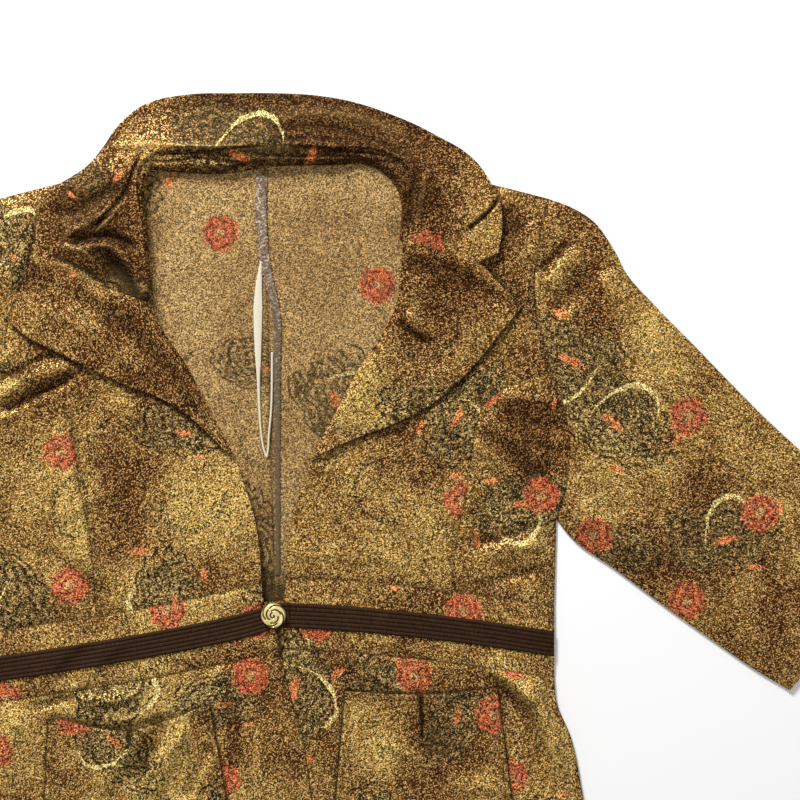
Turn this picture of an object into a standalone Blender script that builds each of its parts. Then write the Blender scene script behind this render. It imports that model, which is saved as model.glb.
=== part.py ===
"""A hip-length blazer laid flat on its back, as thin cloth panels lying on each other.

Sizes are in millimetres. Z is up, +Y points to the collar, +X to the wearer's left.
Tables give one half; the other half is their mirror image unless a table names a side.
"""

from collections import namedtuple

import bmesh
import bpy
import numpy as np

MM = 0.001
CLOTH = 1.5
TRIM = 1.2
SEAM = 0.3
LAY = 0.5
LOFT = 2.6
LOFT_REACH = 45.0
FOLD_REACH = 22.0
REST_REACH = 8.0
LEFT, RIGHT = 1, -1

CENTRE_BACK_TOP = -9.0
CENTRE_BACK_FOOT = 1.0
NECK_Y = 318.0
NECK_TURN = 4.0
HEM_Y = -383.0
HEM_SIDE_RISE = 9.0
WAIST_Y = -86.0
CHEST_HALF = 252.0
BAND_ABOVE = 34.0
BAND_BELOW = 30.0
RIBBON_WIDE = 22.5
RIBS = 6
RIB_HIGH = 0.45
BUTTON_WIDE = 22.5
BUTTON_HIGH = 8.0
PETAL_HIGH = 0.6
PETAL_TURNS = 2.5
COLLAR_ROLL_BACK = 13.0
COLLAR_ROLL_FRONT = 7.0
LAPEL_ROLL = 6.0
LAPEL_ROLL_RISE = 7.0
LAPEL_ROLL_REACH = 48.0
MOUTH_HIGH = 2.2
TUCK_HIGH = 1.2

# How many cells each shared edge is cut into.
PRINCESS_ROWS, YOKE_ROWS, ARM_ROWS, UNDERARM_ROWS, SIDE_ROWS = 10, 5, 7, 6, 4
FRONT_COLUMNS, SIDE_COLUMNS = 10, 5
SLEEVE_COLUMNS = 14
BACK_ARM_ROWS, BACK_SIDE_ROWS = 7, 2
COLLAR_STEPS, COLLAR_COLUMNS = 32, 6
END_REACH = 0.17
LAPEL_ROWS, LAPEL_COLUMNS = 12, 6

Point = namedtuple("Point", "x y")
Waist = namedtuple("Waist", "drop bend")
Lapel = namedtuple("Lapel", "gorge_y notch tip lower")
Fold = namedtuple("Fold", "x0 y0 x1 y1 wide high")
Strip = namedtuple("Strip", "x y wide lift")
SkirtRow = namedtuple("SkirtRow", "rows y_front y_pocket_in y_pocket_out y_side x_in x_out")

FRONT_EDGE = [Point(x, y) for x, y in (
    (12, -52), (13, -24), (17, 0), (28, 36), (35, 56), (47, 80), (60, 104), (81, 143), (97, 166),
    (109, 190), (114, 220), (117, 262), (122, 294), (120, 318))]
SHOULDER = [Point(120, 318), Point(160, 309), Point(200, 300), Point(247, 288)]
ARMHOLE = [Point(x, y) for x, y in (
    (247, 288), (239, 255), (235, 224), (235, 197), (240, 167), (250, 133))]
UNDERARM = [Point(x, y) for x, y in (
    (250, 133), (262, 96), (266, 71), (265, 48), (261, 21), (254, 0))]
PRINCESS = [Point(159, -65), Point(166, -8), Point(175, 34), Point(179, 68), Point(186, 100)]
YOKE = [Point(186, 100), Point(200, 113), Point(217, 122), Point(250, 133)]
SLEEVE_OVER = [Point(x, y) for x, y in (
    (247, 288), (268, 280), (287, 268), (303, 247), (319, 218), (338, 197), (379, 155), (407, 126),
    (447, 86), (473, 62), (520, 18), (569, -29))]
SLEEVE_UNDER = [Point(x, y) for x, y in (
    (254, 0), (267, -16), (308, -46), (359, -84), (400, -113), (432, -135), (464, -154))]
# The side seam of the skirt: how far out it is at each distance under the band.
SKIRT_SIDE = [Point(252, 0), Point(254, 22), Point(266, 51), Point(279, 113), Point(303, 245)]

WAIST = {LEFT: Waist(26.0, 1.6), RIGHT: Waist(49.0, 0.75)}
# Where each front ends past the middle, at the top of the band, the ribbon and the foot of the band.
BAND_END = {LEFT: (12.0, -14.0, -14.0), RIGHT: (11.0, -14.0, -7.0)}
RIBBON_START = 16.0
# Half the gap between the fronts at the foot of the opening, one step above the ribbon.
OPEN_FOOT, OPEN_STEP = 8.5, 1.2
# The front edge of each skirt: how far out it is at each height.
SKIRT_EDGE = {
    LEFT: [Point(-14, -110), Point(-14, -250), Point(-14, -383)],
    RIGHT: [Point(-7, -110), Point(-8, -130), Point(-14, -154), Point(-27, -200), Point(-35, -253),
            Point(-46, -383)]}
SKIRT = {
    LEFT: [SkirtRow(3, -383, -382, -377, -374, 46, 226), SkirtRow(8, -318, -318, -316, -316, 50, 222),
           SkirtRow(2, -156, -154, -151, -158, 64, 201)],
    RIGHT: [SkirtRow(3, -383, -382, -377, -374, 20, 216), SkirtRow(8, -336, -336, -344, -340, 27, 210),
            SkirtRow(2, -160, -166, -178, -184, 57, 202)]}
POCKET_IN, POCKET_OUT = 4, 12

LAPEL_FOOT = 54.0
LAPEL = {
    LEFT: Lapel(252.0, Point(184, 232), Point(223, 190), [Point(x, y) for x, y in (
        (49, 62), (77, 74), (106, 85), (143, 104), (167, 125), (185, 144), (203, 167), (223, 190))]),
    RIGHT: Lapel(195.0, Point(218, 232), Point(237, 178), [Point(x, y) for x, y in (
        (46, 64), (67, 85), (98, 107), (134, 121), (166, 136), (200, 153), (221, 164), (237, 178))])}
ROLL_LINE = [Point(x, y) for x, y in (
    (-111, 196), (-114, 222), (-117, 262), (-122, 294), (-118, 321), (-100, 331), (-50, 334), (0, 335),
    (50, 334), (100, 331), (118, 321), (122, 294), (117, 266), (116, 253))]
STAND_LINE = [Point(x, y) for x, y in (
    (-108, 196), (-111, 222), (-114, 262), (-117, 290), (-109, 312), (-92, 312), (-50, 310), (0, 317),
    (50, 318), (88, 317), (106, 304), (114, 287), (114, 266), (113, 253))]
COLLAR_EDGE = [Point(x, y) for x, y in (
    (-215, 250), (-213, 264), (-211, 281), (-200, 296), (-184, 306), (-167, 318), (-154, 334), (-141, 353),
    (-118, 372), (-76, 382), (-38, 383), (0, 383), (38, 381), (72, 375), (100, 366), (127, 355), (150, 343),
    (171, 331), (184, 319), (196, 300), (203, 285), (205, 262), (202, 241))]

FOLDS = [Fold(*row) for row in (
    (284, 262, 228, 200, 9, 3.6), (300, 232, 250, 180, 9, -2.2), (292, 236, 372, 92, 22, 2.6),
    (270, 6, 335, -30, 12, 2.4), (420, 60, 500, -60, 26, 2.2), (330, 60, 420, -70, 20, 1.8),
    (150, 96, 224, 34, 12, 3.0), (205, 96, 264, 80, 9, -2.2), (205, 112, 258, 104, 8, 2.4),
    (204, -18, 251, -27, 10, 2.4), (70, 40, 150, -30, 26, 1.8), (192, -132, 234, -160, 13, 4.2),
    (228, -152, 262, -226, 13, 4.6), (205, -160, 236, -250, 10, -2.0),
    (-192, 151, -250, 106, 9, 3.2), (-166, 139, -250, 88, 10, 3.2), (-180, 128, -240, 96, 7, -2.2),
    (-120, 60, -60, -30, 24, 2.0), (-190, 40, -170, -60, 14, 1.8),
    (-80, -182, -128, -254, 11, 3.4), (-58, -210, -100, -300, 11, 3.0), (-118, -190, -152, -244, 10, 2.6),
    (-100, -190, -136, -256, 8, -2.0), (110, -176, 92, -280, 13, 1.6), (178, -176, 190, -290, 12, 1.6),
    (-300, 232, -250, 180, 9, 2.6), (-292, 236, -372, 92, 22, 2.6), (-270, 6, -335, -30, 12, 2.4),
    (-420, 60, -500, -60, 26, 2.2), (-330, 60, -420, -70, 20, 1.8), (-228, -176, -262, -246, 13, 3.6))]

# The allowance of the middle seam and the hanger loop, from the neck down.
ALLOWANCE = [Strip(*row) for row in (
    (-10.8, 309, 10, 0.0), (-11.7, 287, 10, 0.4), (-10.8, 260, 9, 0.4), (-9, 238, 8, 0.6), (-4.5, 215, 7, 1.0),
    (0.9, 193, 6, 1.2), (2.9, 175, 5.5, 1.0), (2.9, 152, 5, 0.8), (2.9, 107, 4.6, 0.4), (3.2, 62, 4.4, 0.2),
    (3.6, 0, 4, 0.0), (3.6, -50, 4, 0.0))]
LOOP = [Strip(*row) for row in (
    (-16.5, 226, 4.5, 0.2), (-17, 211, 7.5, 0.5), (-15.5, 188, 8.0, 0.8), (-14.4, 161, 7.0, 0.9),
    (-14, 134, 5.5, 1.0), (-13, 98, 3.2, 0.9), (-11.3, 75.6, 2.4, 0.8), (-8.3, 60, 2.0, 0.6),
    (-6.6, 55.8, 1.8, 0.5), (-5.6, 60.3, 1.8, 0.6), (-4.5, 75.6, 1.9, 0.8), (-2.6, 96, 2.0, 0.9),
    (-1.7, 125, 2.0, 0.9), (-1.6, 150, 2.0, 0.6))]

COLOURS = {
    "cloth": (0.30, 0.19, 0.08), "inside": (0.42, 0.30, 0.14), "ribbon": (0.045, 0.024, 0.013),
    "satin": (0.80, 0.76, 0.66), "gilt": (0.72, 0.58, 0.28)}


def ease(t):
    """Smooth step from 0 to 1."""
    t = np.clip(t, 0.0, 1.0)
    return t * t * (3.0 - 2.0 * t)


def spline(points, count):
    """count + 1 evenly spaced points on a smooth curve through points."""
    knots = np.array(points, float)
    if len(knots) == 2:
        return np.linspace(knots[0], knots[1], count + 1)
    along = np.concatenate([[0.0], np.cumsum(np.linalg.norm(np.diff(knots, axis=0), axis=1))])
    slope = np.gradient(knots, along, axis=0)
    fine = np.linspace(0.0, along[-1], 40 * count + 1)
    cell = np.clip(np.searchsorted(along, fine, side="right") - 1, 0, len(along) - 2)
    step = (along[cell + 1] - along[cell])[:, None]
    t = ((fine - along[cell]) / step[:, 0])[:, None]
    curve = ((2 * t**3 - 3 * t**2 + 1) * knots[cell] + (t**3 - 2 * t**2 + t) * step * slope[cell]
             + (3 * t**2 - 2 * t**3) * knots[cell + 1] + (t**3 - t**2) * step * slope[cell + 1])
    run = np.concatenate([[0.0], np.cumsum(np.linalg.norm(np.diff(curve, axis=0), axis=1))])
    even = np.linspace(0.0, run[-1], count + 1)
    return np.stack([np.interp(even, run, curve[:, k]) for k in range(knots.shape[1])], axis=1)


def join(*lines):
    """Lines end to end, each meeting point kept once."""
    return np.concatenate([lines[0]] + [line[1:] for line in lines[1:]])


def coons(bottom, top, inner, outer):
    """Grid of points inside four edges; bottom and top run from inner to outer."""
    u = np.linspace(0, 1, len(bottom))[:, None, None]
    v = np.linspace(0, 1, len(inner))[None, :, None]
    across = (1 - u) * inner[None] + u * outer[None]
    upward = (1 - v) * bottom[:, None] + v * top[:, None]
    corners = ((1 - u) * (1 - v) * bottom[0] + u * (1 - v) * bottom[-1]
               + (1 - u) * v * top[0] + u * v * top[-1])
    return across + upward - corners


def fan(inner, outer, first, last):
    """Grid between two long edges; its two end rows follow lines of their own."""
    u = np.linspace(0, 1, len(first))[:, None, None]
    v = np.linspace(0, 1, len(inner))[None, :, None]
    grid = (1 - u) * inner[None] + u * outer[None]
    for end, line, near in ((0, first, ease(1 - v / END_REACH)), (-1, last, ease(1 - (1 - v) / END_REACH))):
        grid = grid + near * (line[:, None] - grid[:, end:end + 1 or None])
    return grid


def inset(grid, gap):
    """The grid with its border moved inward by gap."""
    n, m = grid.shape[0] - 1, grid.shape[1] - 1
    loop = ([(i, 0) for i in range(n)] + [(n, j) for j in range(m)]
            + [(i, m) for i in range(n, 0, -1)] + [(0, j) for j in range(m, 0, -1)])
    ring = np.array([grid[at] for at in loop])
    ahead = np.roll(ring, -1, axis=0) - ring
    ahead /= np.linalg.norm(ahead, axis=1)[:, None]
    behind = np.roll(ahead, 1, axis=0)
    area = np.sum(ring[:, 0] * np.roll(ring[:, 1], -1) - np.roll(ring[:, 0], -1) * ring[:, 1])
    inward = np.stack([-(ahead + behind)[:, 1], (ahead + behind)[:, 0]], axis=1) * np.sign(area)
    inward /= np.maximum(np.sum(inward * inward, axis=1), 0.5)[:, None] / 2
    moved = grid.copy()
    for at, place in zip(loop, ring + gap * inward):
        moved[at] = place
    return moved


def mirror(line, side):
    return np.array(line, float) * np.array([side, 1.0])


def waist_y(x, side):
    """Height of the middle of the ribbon at a distance from the centre front."""
    row = WAIST[side]
    return WAIST_Y - row.drop * (np.clip(x, 0, None) / CHEST_HALF) ** row.bend


def seam_at(line, side, shift):
    """The points of a line moved to the waist, with the side's own drop."""
    return np.array([(x, waist_y(x, side) + shift) for x in line])


def skirt_side(side, count):
    top = waist_y(CHEST_HALF, side) - BAND_BELOW
    foot = HEM_Y + HEM_SIDE_RISE
    line = np.array([(row.x, top - row.y) for row in SKIRT_SIDE])
    line = spline(line, 60)
    ys = np.linspace(foot, top, count + 1)
    return np.stack([np.interp(ys, line[::-1, 1], line[::-1, 0]), ys], axis=1)


def outline(side):
    """The outer edge of one half, from the neck to the hem."""
    skirt = skirt_side(side, 12)[::-1]
    cuff = spline([SLEEVE_OVER[-1], SLEEVE_UNDER[-1]], 6)
    flank = spline([UNDERARM[-1], skirt[0]], 4)
    arm = join(spline(SHOULDER, 6), spline(SLEEVE_OVER, 24), cuff, spline(SLEEVE_UNDER[::-1], 12))
    return mirror(join(arm, flank, skirt), side)


def edge_distance(x, y):
    """How far each point lies inside the outer edge."""
    best = np.full(np.shape(x), 1e9)
    for side in (LEFT, RIGHT):
        line = outline(side)
        for a, b in zip(line[:-1], line[1:]):
            along = b - a
            t = np.clip(((x - a[0]) * along[0] + (y - a[1]) * along[1]) / (along @ along), 0, 1)
            best = np.minimum(best, np.hypot(x - a[0] - t * along[0], y - a[1] - t * along[1]))
    return best


def fold_height(x, y):
    total = np.zeros(np.shape(x))
    for row in FOLDS:
        dx, dy = row.x1 - row.x0, row.y1 - row.y0
        t = ((x - row.x0) * dx + (y - row.y0) * dy) / (dx * dx + dy * dy)
        away = np.hypot(x - row.x0 - t * dx, y - row.y0 - t * dy)
        ends = ease((t + 0.15) / 0.3) * ease((1.15 - t) / 0.3)
        total += row.high * ends * np.exp(-(away / row.wide) ** 2)
    return total


def lap_height(x, y):
    """The wearer's right front rises over the left one at the middle."""
    return (CLOTH + LAY) * ease((x + 44) / 24) * ease((-24 - y) / 36)


def upper_floor(grid, side):
    """Underside of the front and the top sleeves."""
    x, y = grid[..., 0], grid[..., 1]
    inside = edge_distance(x, y)
    height = CLOTH + SEAM + LOFT * ease(inside / LOFT_REACH) + fold_height(x, y) * ease(inside / FOLD_REACH)
    if side == RIGHT:
        height = height + lap_height(x, y)
    return height


def rest_on_front(grid, side):
    """Underside of what lies on a front: clear of the highest point near each of its own."""
    shifts = [(0, 0)] + [(a, b) for a in (-REST_REACH, REST_REACH) for b in (-REST_REACH, REST_REACH)]
    return np.max([upper_floor(grid + np.array(shift), side) for shift in shifts], axis=0) + CLOTH + LAY


def wall(name, grid, floor, thick, colour):
    """A closed cloth wall: a grid on its floor heights, drawn up by its thickness."""
    columns, rows = grid.shape[0] - 1, grid.shape[1] - 1
    floor = np.broadcast_to(floor, grid.shape[:2])
    thick = np.broadcast_to(thick, grid.shape[:2])
    bm = bmesh.new()
    bmesh.ops.create_grid(bm, x_segments=columns, y_segments=rows, size=0.5)
    place = bm.verts.layers.int.new("place")
    for vert in bm.verts:
        i, j = round((vert.co.x + 0.5) * columns), round((vert.co.y + 0.5) * rows)
        vert[place] = i * (rows + 1) + j
        vert.co = (grid[i, j, 0], grid[i, j, 1], floor[i, j])
    drawn = bmesh.ops.extrude_face_region(bm, geom=bm.faces[:])["geom"]
    for vert in drawn:
        if isinstance(vert, bmesh.types.BMVert):
            vert.co.z += thick.flat[vert[place]]
    return finish(name, bm, colour)


def finish(name, bm, colour):
    """Turn a drawing in millimetres into a named object with its own material."""
    bmesh.ops.scale(bm, vec=(MM, MM, MM), verts=bm.verts[:])
    bmesh.ops.triangulate(bm, faces=bm.faces[:])
    bmesh.ops.recalc_face_normals(bm, faces=bm.faces[:])
    mesh = bpy.data.meshes.new(name)
    bm.to_mesh(mesh)
    bm.free()
    material = bpy.data.materials.new(f"{name}_{colour}")
    material.use_nodes = True
    shader = material.node_tree.nodes["Principled BSDF"]
    shader.inputs["Base Color"].default_value = (*COLOURS[colour], 1.0)
    shader.inputs["Roughness"].default_value = 0.35 if colour == "gilt" else 0.8
    shader.inputs["Metallic"].default_value = 1.0 if colour == "gilt" else 0.0
    mesh.materials.append(material)
    piece = bpy.data.objects.new(name, mesh)
    bpy.data.collections["blazer"].objects.link(piece)
    return piece


def ribbon_grid(rows, count):
    """A flat strip along a table of centres and widths, with its lift."""
    line = spline([(row.x, row.y) for row in rows], count)
    run = np.linspace(0, len(rows) - 1, count + 1)
    wide = np.interp(run, range(len(rows)), [row.wide for row in rows])
    lift = np.interp(run, range(len(rows)), [row.lift for row in rows])
    ahead = np.gradient(line, axis=0)
    ahead /= np.linalg.norm(ahead, axis=1)[:, None]
    aside = np.stack([-ahead[:, 1], ahead[:, 0]], axis=1)
    grid = np.stack([line - aside * wide[:, None] / 2, line + aside * wide[:, None] / 2], axis=1)
    return grid, np.stack([lift, lift], axis=1)


def name_of(piece, side):
    return f"{piece}_{'left' if side == LEFT else 'right'}"


def make_backs():
    band_top = WAIST_Y + BAND_ABOVE - 12
    band_foot = WAIST_Y - BAND_BELOW - 18
    for side in (LEFT, RIGHT):
        start = Point(CENTRE_BACK_FOOT * side, band_top)
        neck = [Point(CENTRE_BACK_TOP * side, NECK_Y + NECK_TURN), Point(60, NECK_Y + NECK_TURN), SHOULDER[0]]
        under = spline([Point(CHEST_HALF, band_top), UNDERARM[-1]], BACK_SIDE_ROWS)
        outer = join(under, spline(UNDERARM[::-1] + ARMHOLE[-2::-1], BACK_ARM_ROWS))
        top = join(spline(neck, 4), spline(SHOULDER, 4))
        middle = spline([start, top[0]], BACK_SIDE_ROWS + BACK_ARM_ROWS)
        grid = coons(spline([start, under[0]], 8), top, middle, outer)
        wall(name_of("back", side), inset(mirror(grid, side), SEAM / 2), 0.0, CLOTH, "inside")
    sides = [skirt_side(side, 5) for side in (RIGHT, LEFT)]
    edges = [mirror(line, side) for line, side in zip(sides, (RIGHT, LEFT))]
    band = coons(spline([(-CHEST_HALF, band_foot), (CHEST_HALF, band_foot)], 8),
                 spline([(-CHEST_HALF, band_top), (CHEST_HALF, band_top)], 8),
                 spline([(-CHEST_HALF, band_foot), (-CHEST_HALF, band_top)], 2),
                 spline([(CHEST_HALF, band_foot), (CHEST_HALF, band_top)], 2))
    wall("back_band", inset(band, SEAM / 2), 0.0, CLOTH, "inside")
    for edge in edges:
        edge[-1, 1] = band_foot
        edge[-1, 0] = np.sign(edge[-1, 0]) * CHEST_HALF
    skirt = coons(spline([edges[0][0], (0, HEM_Y), edges[1][0]], 12),
                  spline([edges[0][-1], edges[1][-1]], 12), edges[0], edges[1])
    wall("back_skirt", inset(skirt, SEAM / 2), 0.0, CLOTH, "inside")
    grid, lift = ribbon_grid(ALLOWANCE, 24)
    wall("middle_allowance", grid, CLOTH + SEAM + lift, TRIM, "inside")
    grid, lift = ribbon_grid(LOOP, 30)
    wall("hanger_loop", grid, CLOTH + SEAM + lift, TRIM, "satin")


def make_front(side):
    front_foot = seam_at(np.linspace(BAND_END[side][0], PRINCESS[0].x, FRONT_COLUMNS + 1), side, BAND_ABOVE)
    side_foot = seam_at(np.linspace(PRINCESS[0].x, CHEST_HALF, SIDE_COLUMNS + 1), side, BAND_ABOVE)
    princess = spline([front_foot[-1]] + PRINCESS[1:], PRINCESS_ROWS)
    yoke = spline(YOKE, YOKE_ROWS)
    arm = spline(ARMHOLE[::-1], ARM_ROWS)
    under = spline(UNDERARM[::-1], UNDERARM_ROWS)
    flank = spline([side_foot[-1], UNDERARM[-1]], SIDE_ROWS)
    edge = spline([front_foot[0]] + FRONT_EDGE[1:], PRINCESS_ROWS + YOKE_ROWS + ARM_ROWS)
    grid = coons(front_foot, spline(SHOULDER, FRONT_COLUMNS), edge, join(princess, yoke, arm))
    grid = inset(mirror(grid, side), SEAM / 2)
    wall(name_of("front", side), grid, upper_floor(grid, side), CLOTH, "cloth")
    grid = coons(side_foot, yoke, princess, join(flank, under))
    grid = inset(mirror(grid, side), SEAM / 2)
    wall(name_of("side_front", side), grid, upper_floor(grid, side), CLOTH, "cloth")


def make_band(side):
    """The waist band, its ribbon made from the band's own points, moved out."""
    ends = BAND_END[side]
    half = RIBBON_WIDE / 2
    outer = np.linspace(PRINCESS[0].x, CHEST_HALF, SIDE_COLUMNS + 1)
    lines = []
    ribbon_inner = np.concatenate([[ends[1]], np.linspace(RIBBON_START, PRINCESS[0].x, FRONT_COLUMNS)])
    for shift, inner in ((-BAND_BELOW, np.linspace(ends[2], PRINCESS[0].x, FRONT_COLUMNS + 1)),
                         (-half, ribbon_inner), (half, ribbon_inner),
                         (half + OPEN_STEP, np.linspace(OPEN_FOOT, PRINCESS[0].x, FRONT_COLUMNS + 1)),
                         (BAND_ABOVE, np.linspace(ends[0], PRINCESS[0].x, FRONT_COLUMNS + 1))):
        lines.append(seam_at(np.concatenate([inner, outer[1:]]), side, shift))
    grid = inset(mirror(np.stack(lines, axis=1), side), SEAM / 2)
    floor = upper_floor(grid, side)
    wall(name_of("band", side), grid, floor, CLOTH, "cloth")
    ribbed = np.linspace(0, 1, 2 * RIBS + 1)[None, :]
    first = 1 if side == LEFT else 0
    low, high = grid[first:, 1], grid[first:, 2]
    trim = low[:, None] + (high - low)[:, None] * ribbed[..., None]
    base = floor[first:, 1][:, None] + (floor[first:, 2] - floor[first:, 1])[:, None] * ribbed
    ridge = RIB_HIGH * np.where(np.arange(2 * RIBS + 1) % 2, 1.0, 0.0)[None, :]
    wall(name_of("ribbon", side), trim, base + CLOTH + LAY, TRIM + ridge, "ribbon")


def skirt_grid(side):
    """Grid of a skirt panel whose columns and rows pass along the pocket's edges."""
    columns = FRONT_COLUMNS + SIDE_COLUMNS
    edge = np.array(SKIRT_EDGE[side], float)
    flank = skirt_side(side, 40)
    waist = np.concatenate([np.linspace(BAND_END[side][2], PRINCESS[0].x, FRONT_COLUMNS + 1),
                            np.linspace(PRINCESS[0].x, CHEST_HALF, SIDE_COLUMNS + 1)[1:]])
    top = seam_at(waist, side, -BAND_BELOW)
    keys = (0, POCKET_IN, POCKET_OUT, columns)
    lines = []
    for row in SKIRT[side]:
        ys = (row.y_front, row.y_pocket_in, row.y_pocket_out, row.y_side)
        xs = (np.interp(row.y_front, edge[::-1, 1], edge[::-1, 0]), row.x_in, row.x_out,
              np.interp(row.y_side, flank[:, 1], flank[:, 0]))
        lines.append(np.stack([np.interp(range(columns + 1), keys, at) for at in (xs, ys)], axis=1))
    lines.append(top)
    grid = [lines[0]]
    for row, low, high in zip(SKIRT[side], lines[:-1], lines[1:]):
        grid += [low + (high - low) * k / row.rows for k in range(1, row.rows + 1)]
    grid = np.stack(grid, axis=1)
    for end, line in ((0, edge[::-1]), (columns, flank)):
        grid[end, :, 0] = np.interp(grid[end, :, 1], line[:, 1], line[:, 0])
    return grid


def make_skirt(side):
    """A skirt panel and its patch pocket, made from the panel's own points, moved out."""
    grid = inset(mirror(skirt_grid(side), side), SEAM / 2)
    floor = upper_floor(grid, side)
    wall(name_of("skirt", side), grid, floor, CLOTH, "cloth")
    first = SKIRT[side][0].rows
    rows = slice(first, first + SKIRT[side][1].rows + 1)
    patch = grid[POCKET_IN:POCKET_OUT + 1, rows]
    across = np.linspace(0, 1, patch.shape[0])[:, None]
    upward = np.linspace(0, 1, patch.shape[1])[None, :]
    mouth = MOUTH_HIGH * np.sin(np.pi * across) ** 1.5 * ease((upward - 0.55) / 0.45)
    tuck = TUCK_HIGH * np.exp(-((across - 0.5) / 0.16) ** 2) * ease((upward - 0.4) / 0.4)
    rest = floor[POCKET_IN:POCKET_OUT + 1, rows] + CLOTH + LAY
    wall(name_of("pocket", side), patch, rest + mouth + tuck, CLOTH, "cloth")


def lapel_lines(side):
    row = LAPEL[side]
    edge = spline(FRONT_EDGE, 240)
    ys = np.linspace(LAPEL_FOOT, row.gorge_y, 2 * LAPEL_ROWS)
    roll = spline(np.stack([np.interp(ys, edge[:, 1], edge[:, 0]), ys], axis=1), LAPEL_ROWS)
    lower = spline(row.lower, LAPEL_ROWS)
    gorge = join(spline([roll[-1], Point(row.notch.x, row.notch.y - 2 * SEAM)], LAPEL_COLUMNS - 2),
                 spline([Point(row.notch.x, row.notch.y - 2 * SEAM), row.tip], 2))
    return roll, lower, gorge


def make_lapel(side):
    roll, lower, gorge = lapel_lines(side)
    grid = mirror(coons(spline([roll[0], lower[0]], LAPEL_COLUMNS), gorge, roll, lower), side)
    away = np.linalg.norm(grid - grid[:1], axis=2)
    grow = ease(np.linspace(0, 1, LAPEL_ROWS + 1)[None, :] / 0.4)
    bulge = LAPEL_ROLL * grow * ease(away / LAPEL_ROLL_RISE) * (1 - ease(away / LAPEL_ROLL_REACH))
    wall(name_of("lapel", side), grid, rest_on_front(grid, side) + bulge, CLOTH, "cloth")


def make_collar():
    """Stand and fall in one sheet, over the neck roll and out onto the table behind."""
    ends = []
    for side, end in ((RIGHT, 0), (LEFT, -1)):
        start, tip = ROLL_LINE[end], COLLAR_EDGE[end]
        notch = mirror(LAPEL[side].notch, side) + np.array([0, 2 * SEAM])
        ends.append(join(spline([start, notch], COLLAR_COLUMNS - 2), spline([notch, tip], 2)))
    fall = fan(spline(ROLL_LINE, COLLAR_STEPS), spline(COLLAR_EDGE, COLLAR_STEPS), ends[0], ends[1])
    stand = spline(STAND_LINE, COLLAR_STEPS)[None]
    grid = np.concatenate([stand, fall])
    x, y = grid[..., 0], grid[..., 1]
    inside = shoulder_side(x, y)
    rest = (CLOTH + SEAM + LOFT + CLOTH + LAY) * ease((inside + 32) / 50)
    behind = ease((y[1:2] - 280) / 45)
    high = COLLAR_ROLL_FRONT + (COLLAR_ROLL_BACK - COLLAR_ROLL_FRONT) * behind
    reach = np.linspace(0, 1, COLLAR_COLUMNS + 1)[:, None]
    floor = np.empty(grid.shape[:2])
    floor[1:] = rest[1:] + high * np.cos(np.pi / 2 * reach) ** 1.6
    floor[0] = CLOTH + LAY
    wall("collar", grid, floor, CLOTH, "cloth")


def shoulder_side(x, y):
    """Distance in front of the shoulder seams; below zero behind them."""
    line = join(np.array([[0.0, NECK_Y + 30]]), spline(SHOULDER, 4), np.array([[400.0, 245.0]]))
    return np.interp(abs(x), line[:, 0], line[:, 1]) - y


def make_sleeve(side):
    arm = join(spline(UNDERARM[::-1], UNDERARM_ROWS), spline(ARMHOLE[::-1], ARM_ROWS))
    over, under = spline(SLEEVE_OVER, SLEEVE_COLUMNS), spline(SLEEVE_UNDER, SLEEVE_COLUMNS)
    cuff = spline([under[-1], over[-1]], len(arm) - 1)
    grid = inset(mirror(coons(under, over, arm, cuff), side), SEAM / 2)
    wall(name_of("top_sleeve", side), grid, upper_floor(grid, side), CLOTH, "cloth")
    arm = spline(UNDERARM[::-1] + ARMHOLE[-2::-1], BACK_ARM_ROWS)
    cuff = spline([under[-1], over[-1]], BACK_ARM_ROWS)
    grid = inset(mirror(coons(under, over, arm, cuff), side), SEAM / 2)
    wall(name_of("under_sleeve", side), grid, 0.0, CLOTH, "inside")


def make_button():
    """A domed rose: petals wound in a spiral on a flattened ball."""
    bm = bmesh.new()
    bmesh.ops.create_uvsphere(bm, u_segments=28, v_segments=12, radius=BUTTON_WIDE / 2)
    foot = float(upper_floor(np.array([0.0, WAIST_Y]), RIGHT)) + CLOTH + LAY + TRIM + RIB_HIGH + SEAM
    for vert in bm.verts:
        radius = np.hypot(vert.co.x, vert.co.y) / (BUTTON_WIDE / 2)
        turn = np.arctan2(vert.co.y, vert.co.x) / (2 * np.pi)
        rim = ease(radius / 0.3) * ease((1 - radius) / 0.2)
        petal = PETAL_HIGH * np.cos(2 * np.pi * (PETAL_TURNS * radius - turn)) * rim
        dome = BUTTON_HIGH * 0.62 * vert.co.z / (BUTTON_WIDE / 2)
        vert.co.z = foot + max(dome, -BUTTON_HIGH * 0.25) + BUTTON_HIGH * 0.25 + (petal if dome > 0 else 0.0)
    bmesh.ops.translate(bm, vec=(0.0, WAIST_Y, 0.0), verts=bm.verts[:])
    finish("rose_button", bm, "gilt")


def main():
    for old in list(bpy.data.objects):
        bpy.data.objects.remove(old, do_unlink=True)
    blazer = bpy.data.collections.new("blazer")
    bpy.context.scene.collection.children.link(blazer)
    make_backs()
    for side in (LEFT, RIGHT):
        make_front(side)
        make_band(side)
        make_skirt(side)
        make_lapel(side)
        make_sleeve(side)
    make_collar()
    make_button()


main()
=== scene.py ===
"""Looks of the blazer laid flat: fine cloth panels, printed knit, ribbon, button, floor, light and camera.

Sizes in the tables are millimetres; meshes are metres. Left and right are the wearer's.
"""

import math
from collections import namedtuple

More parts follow.
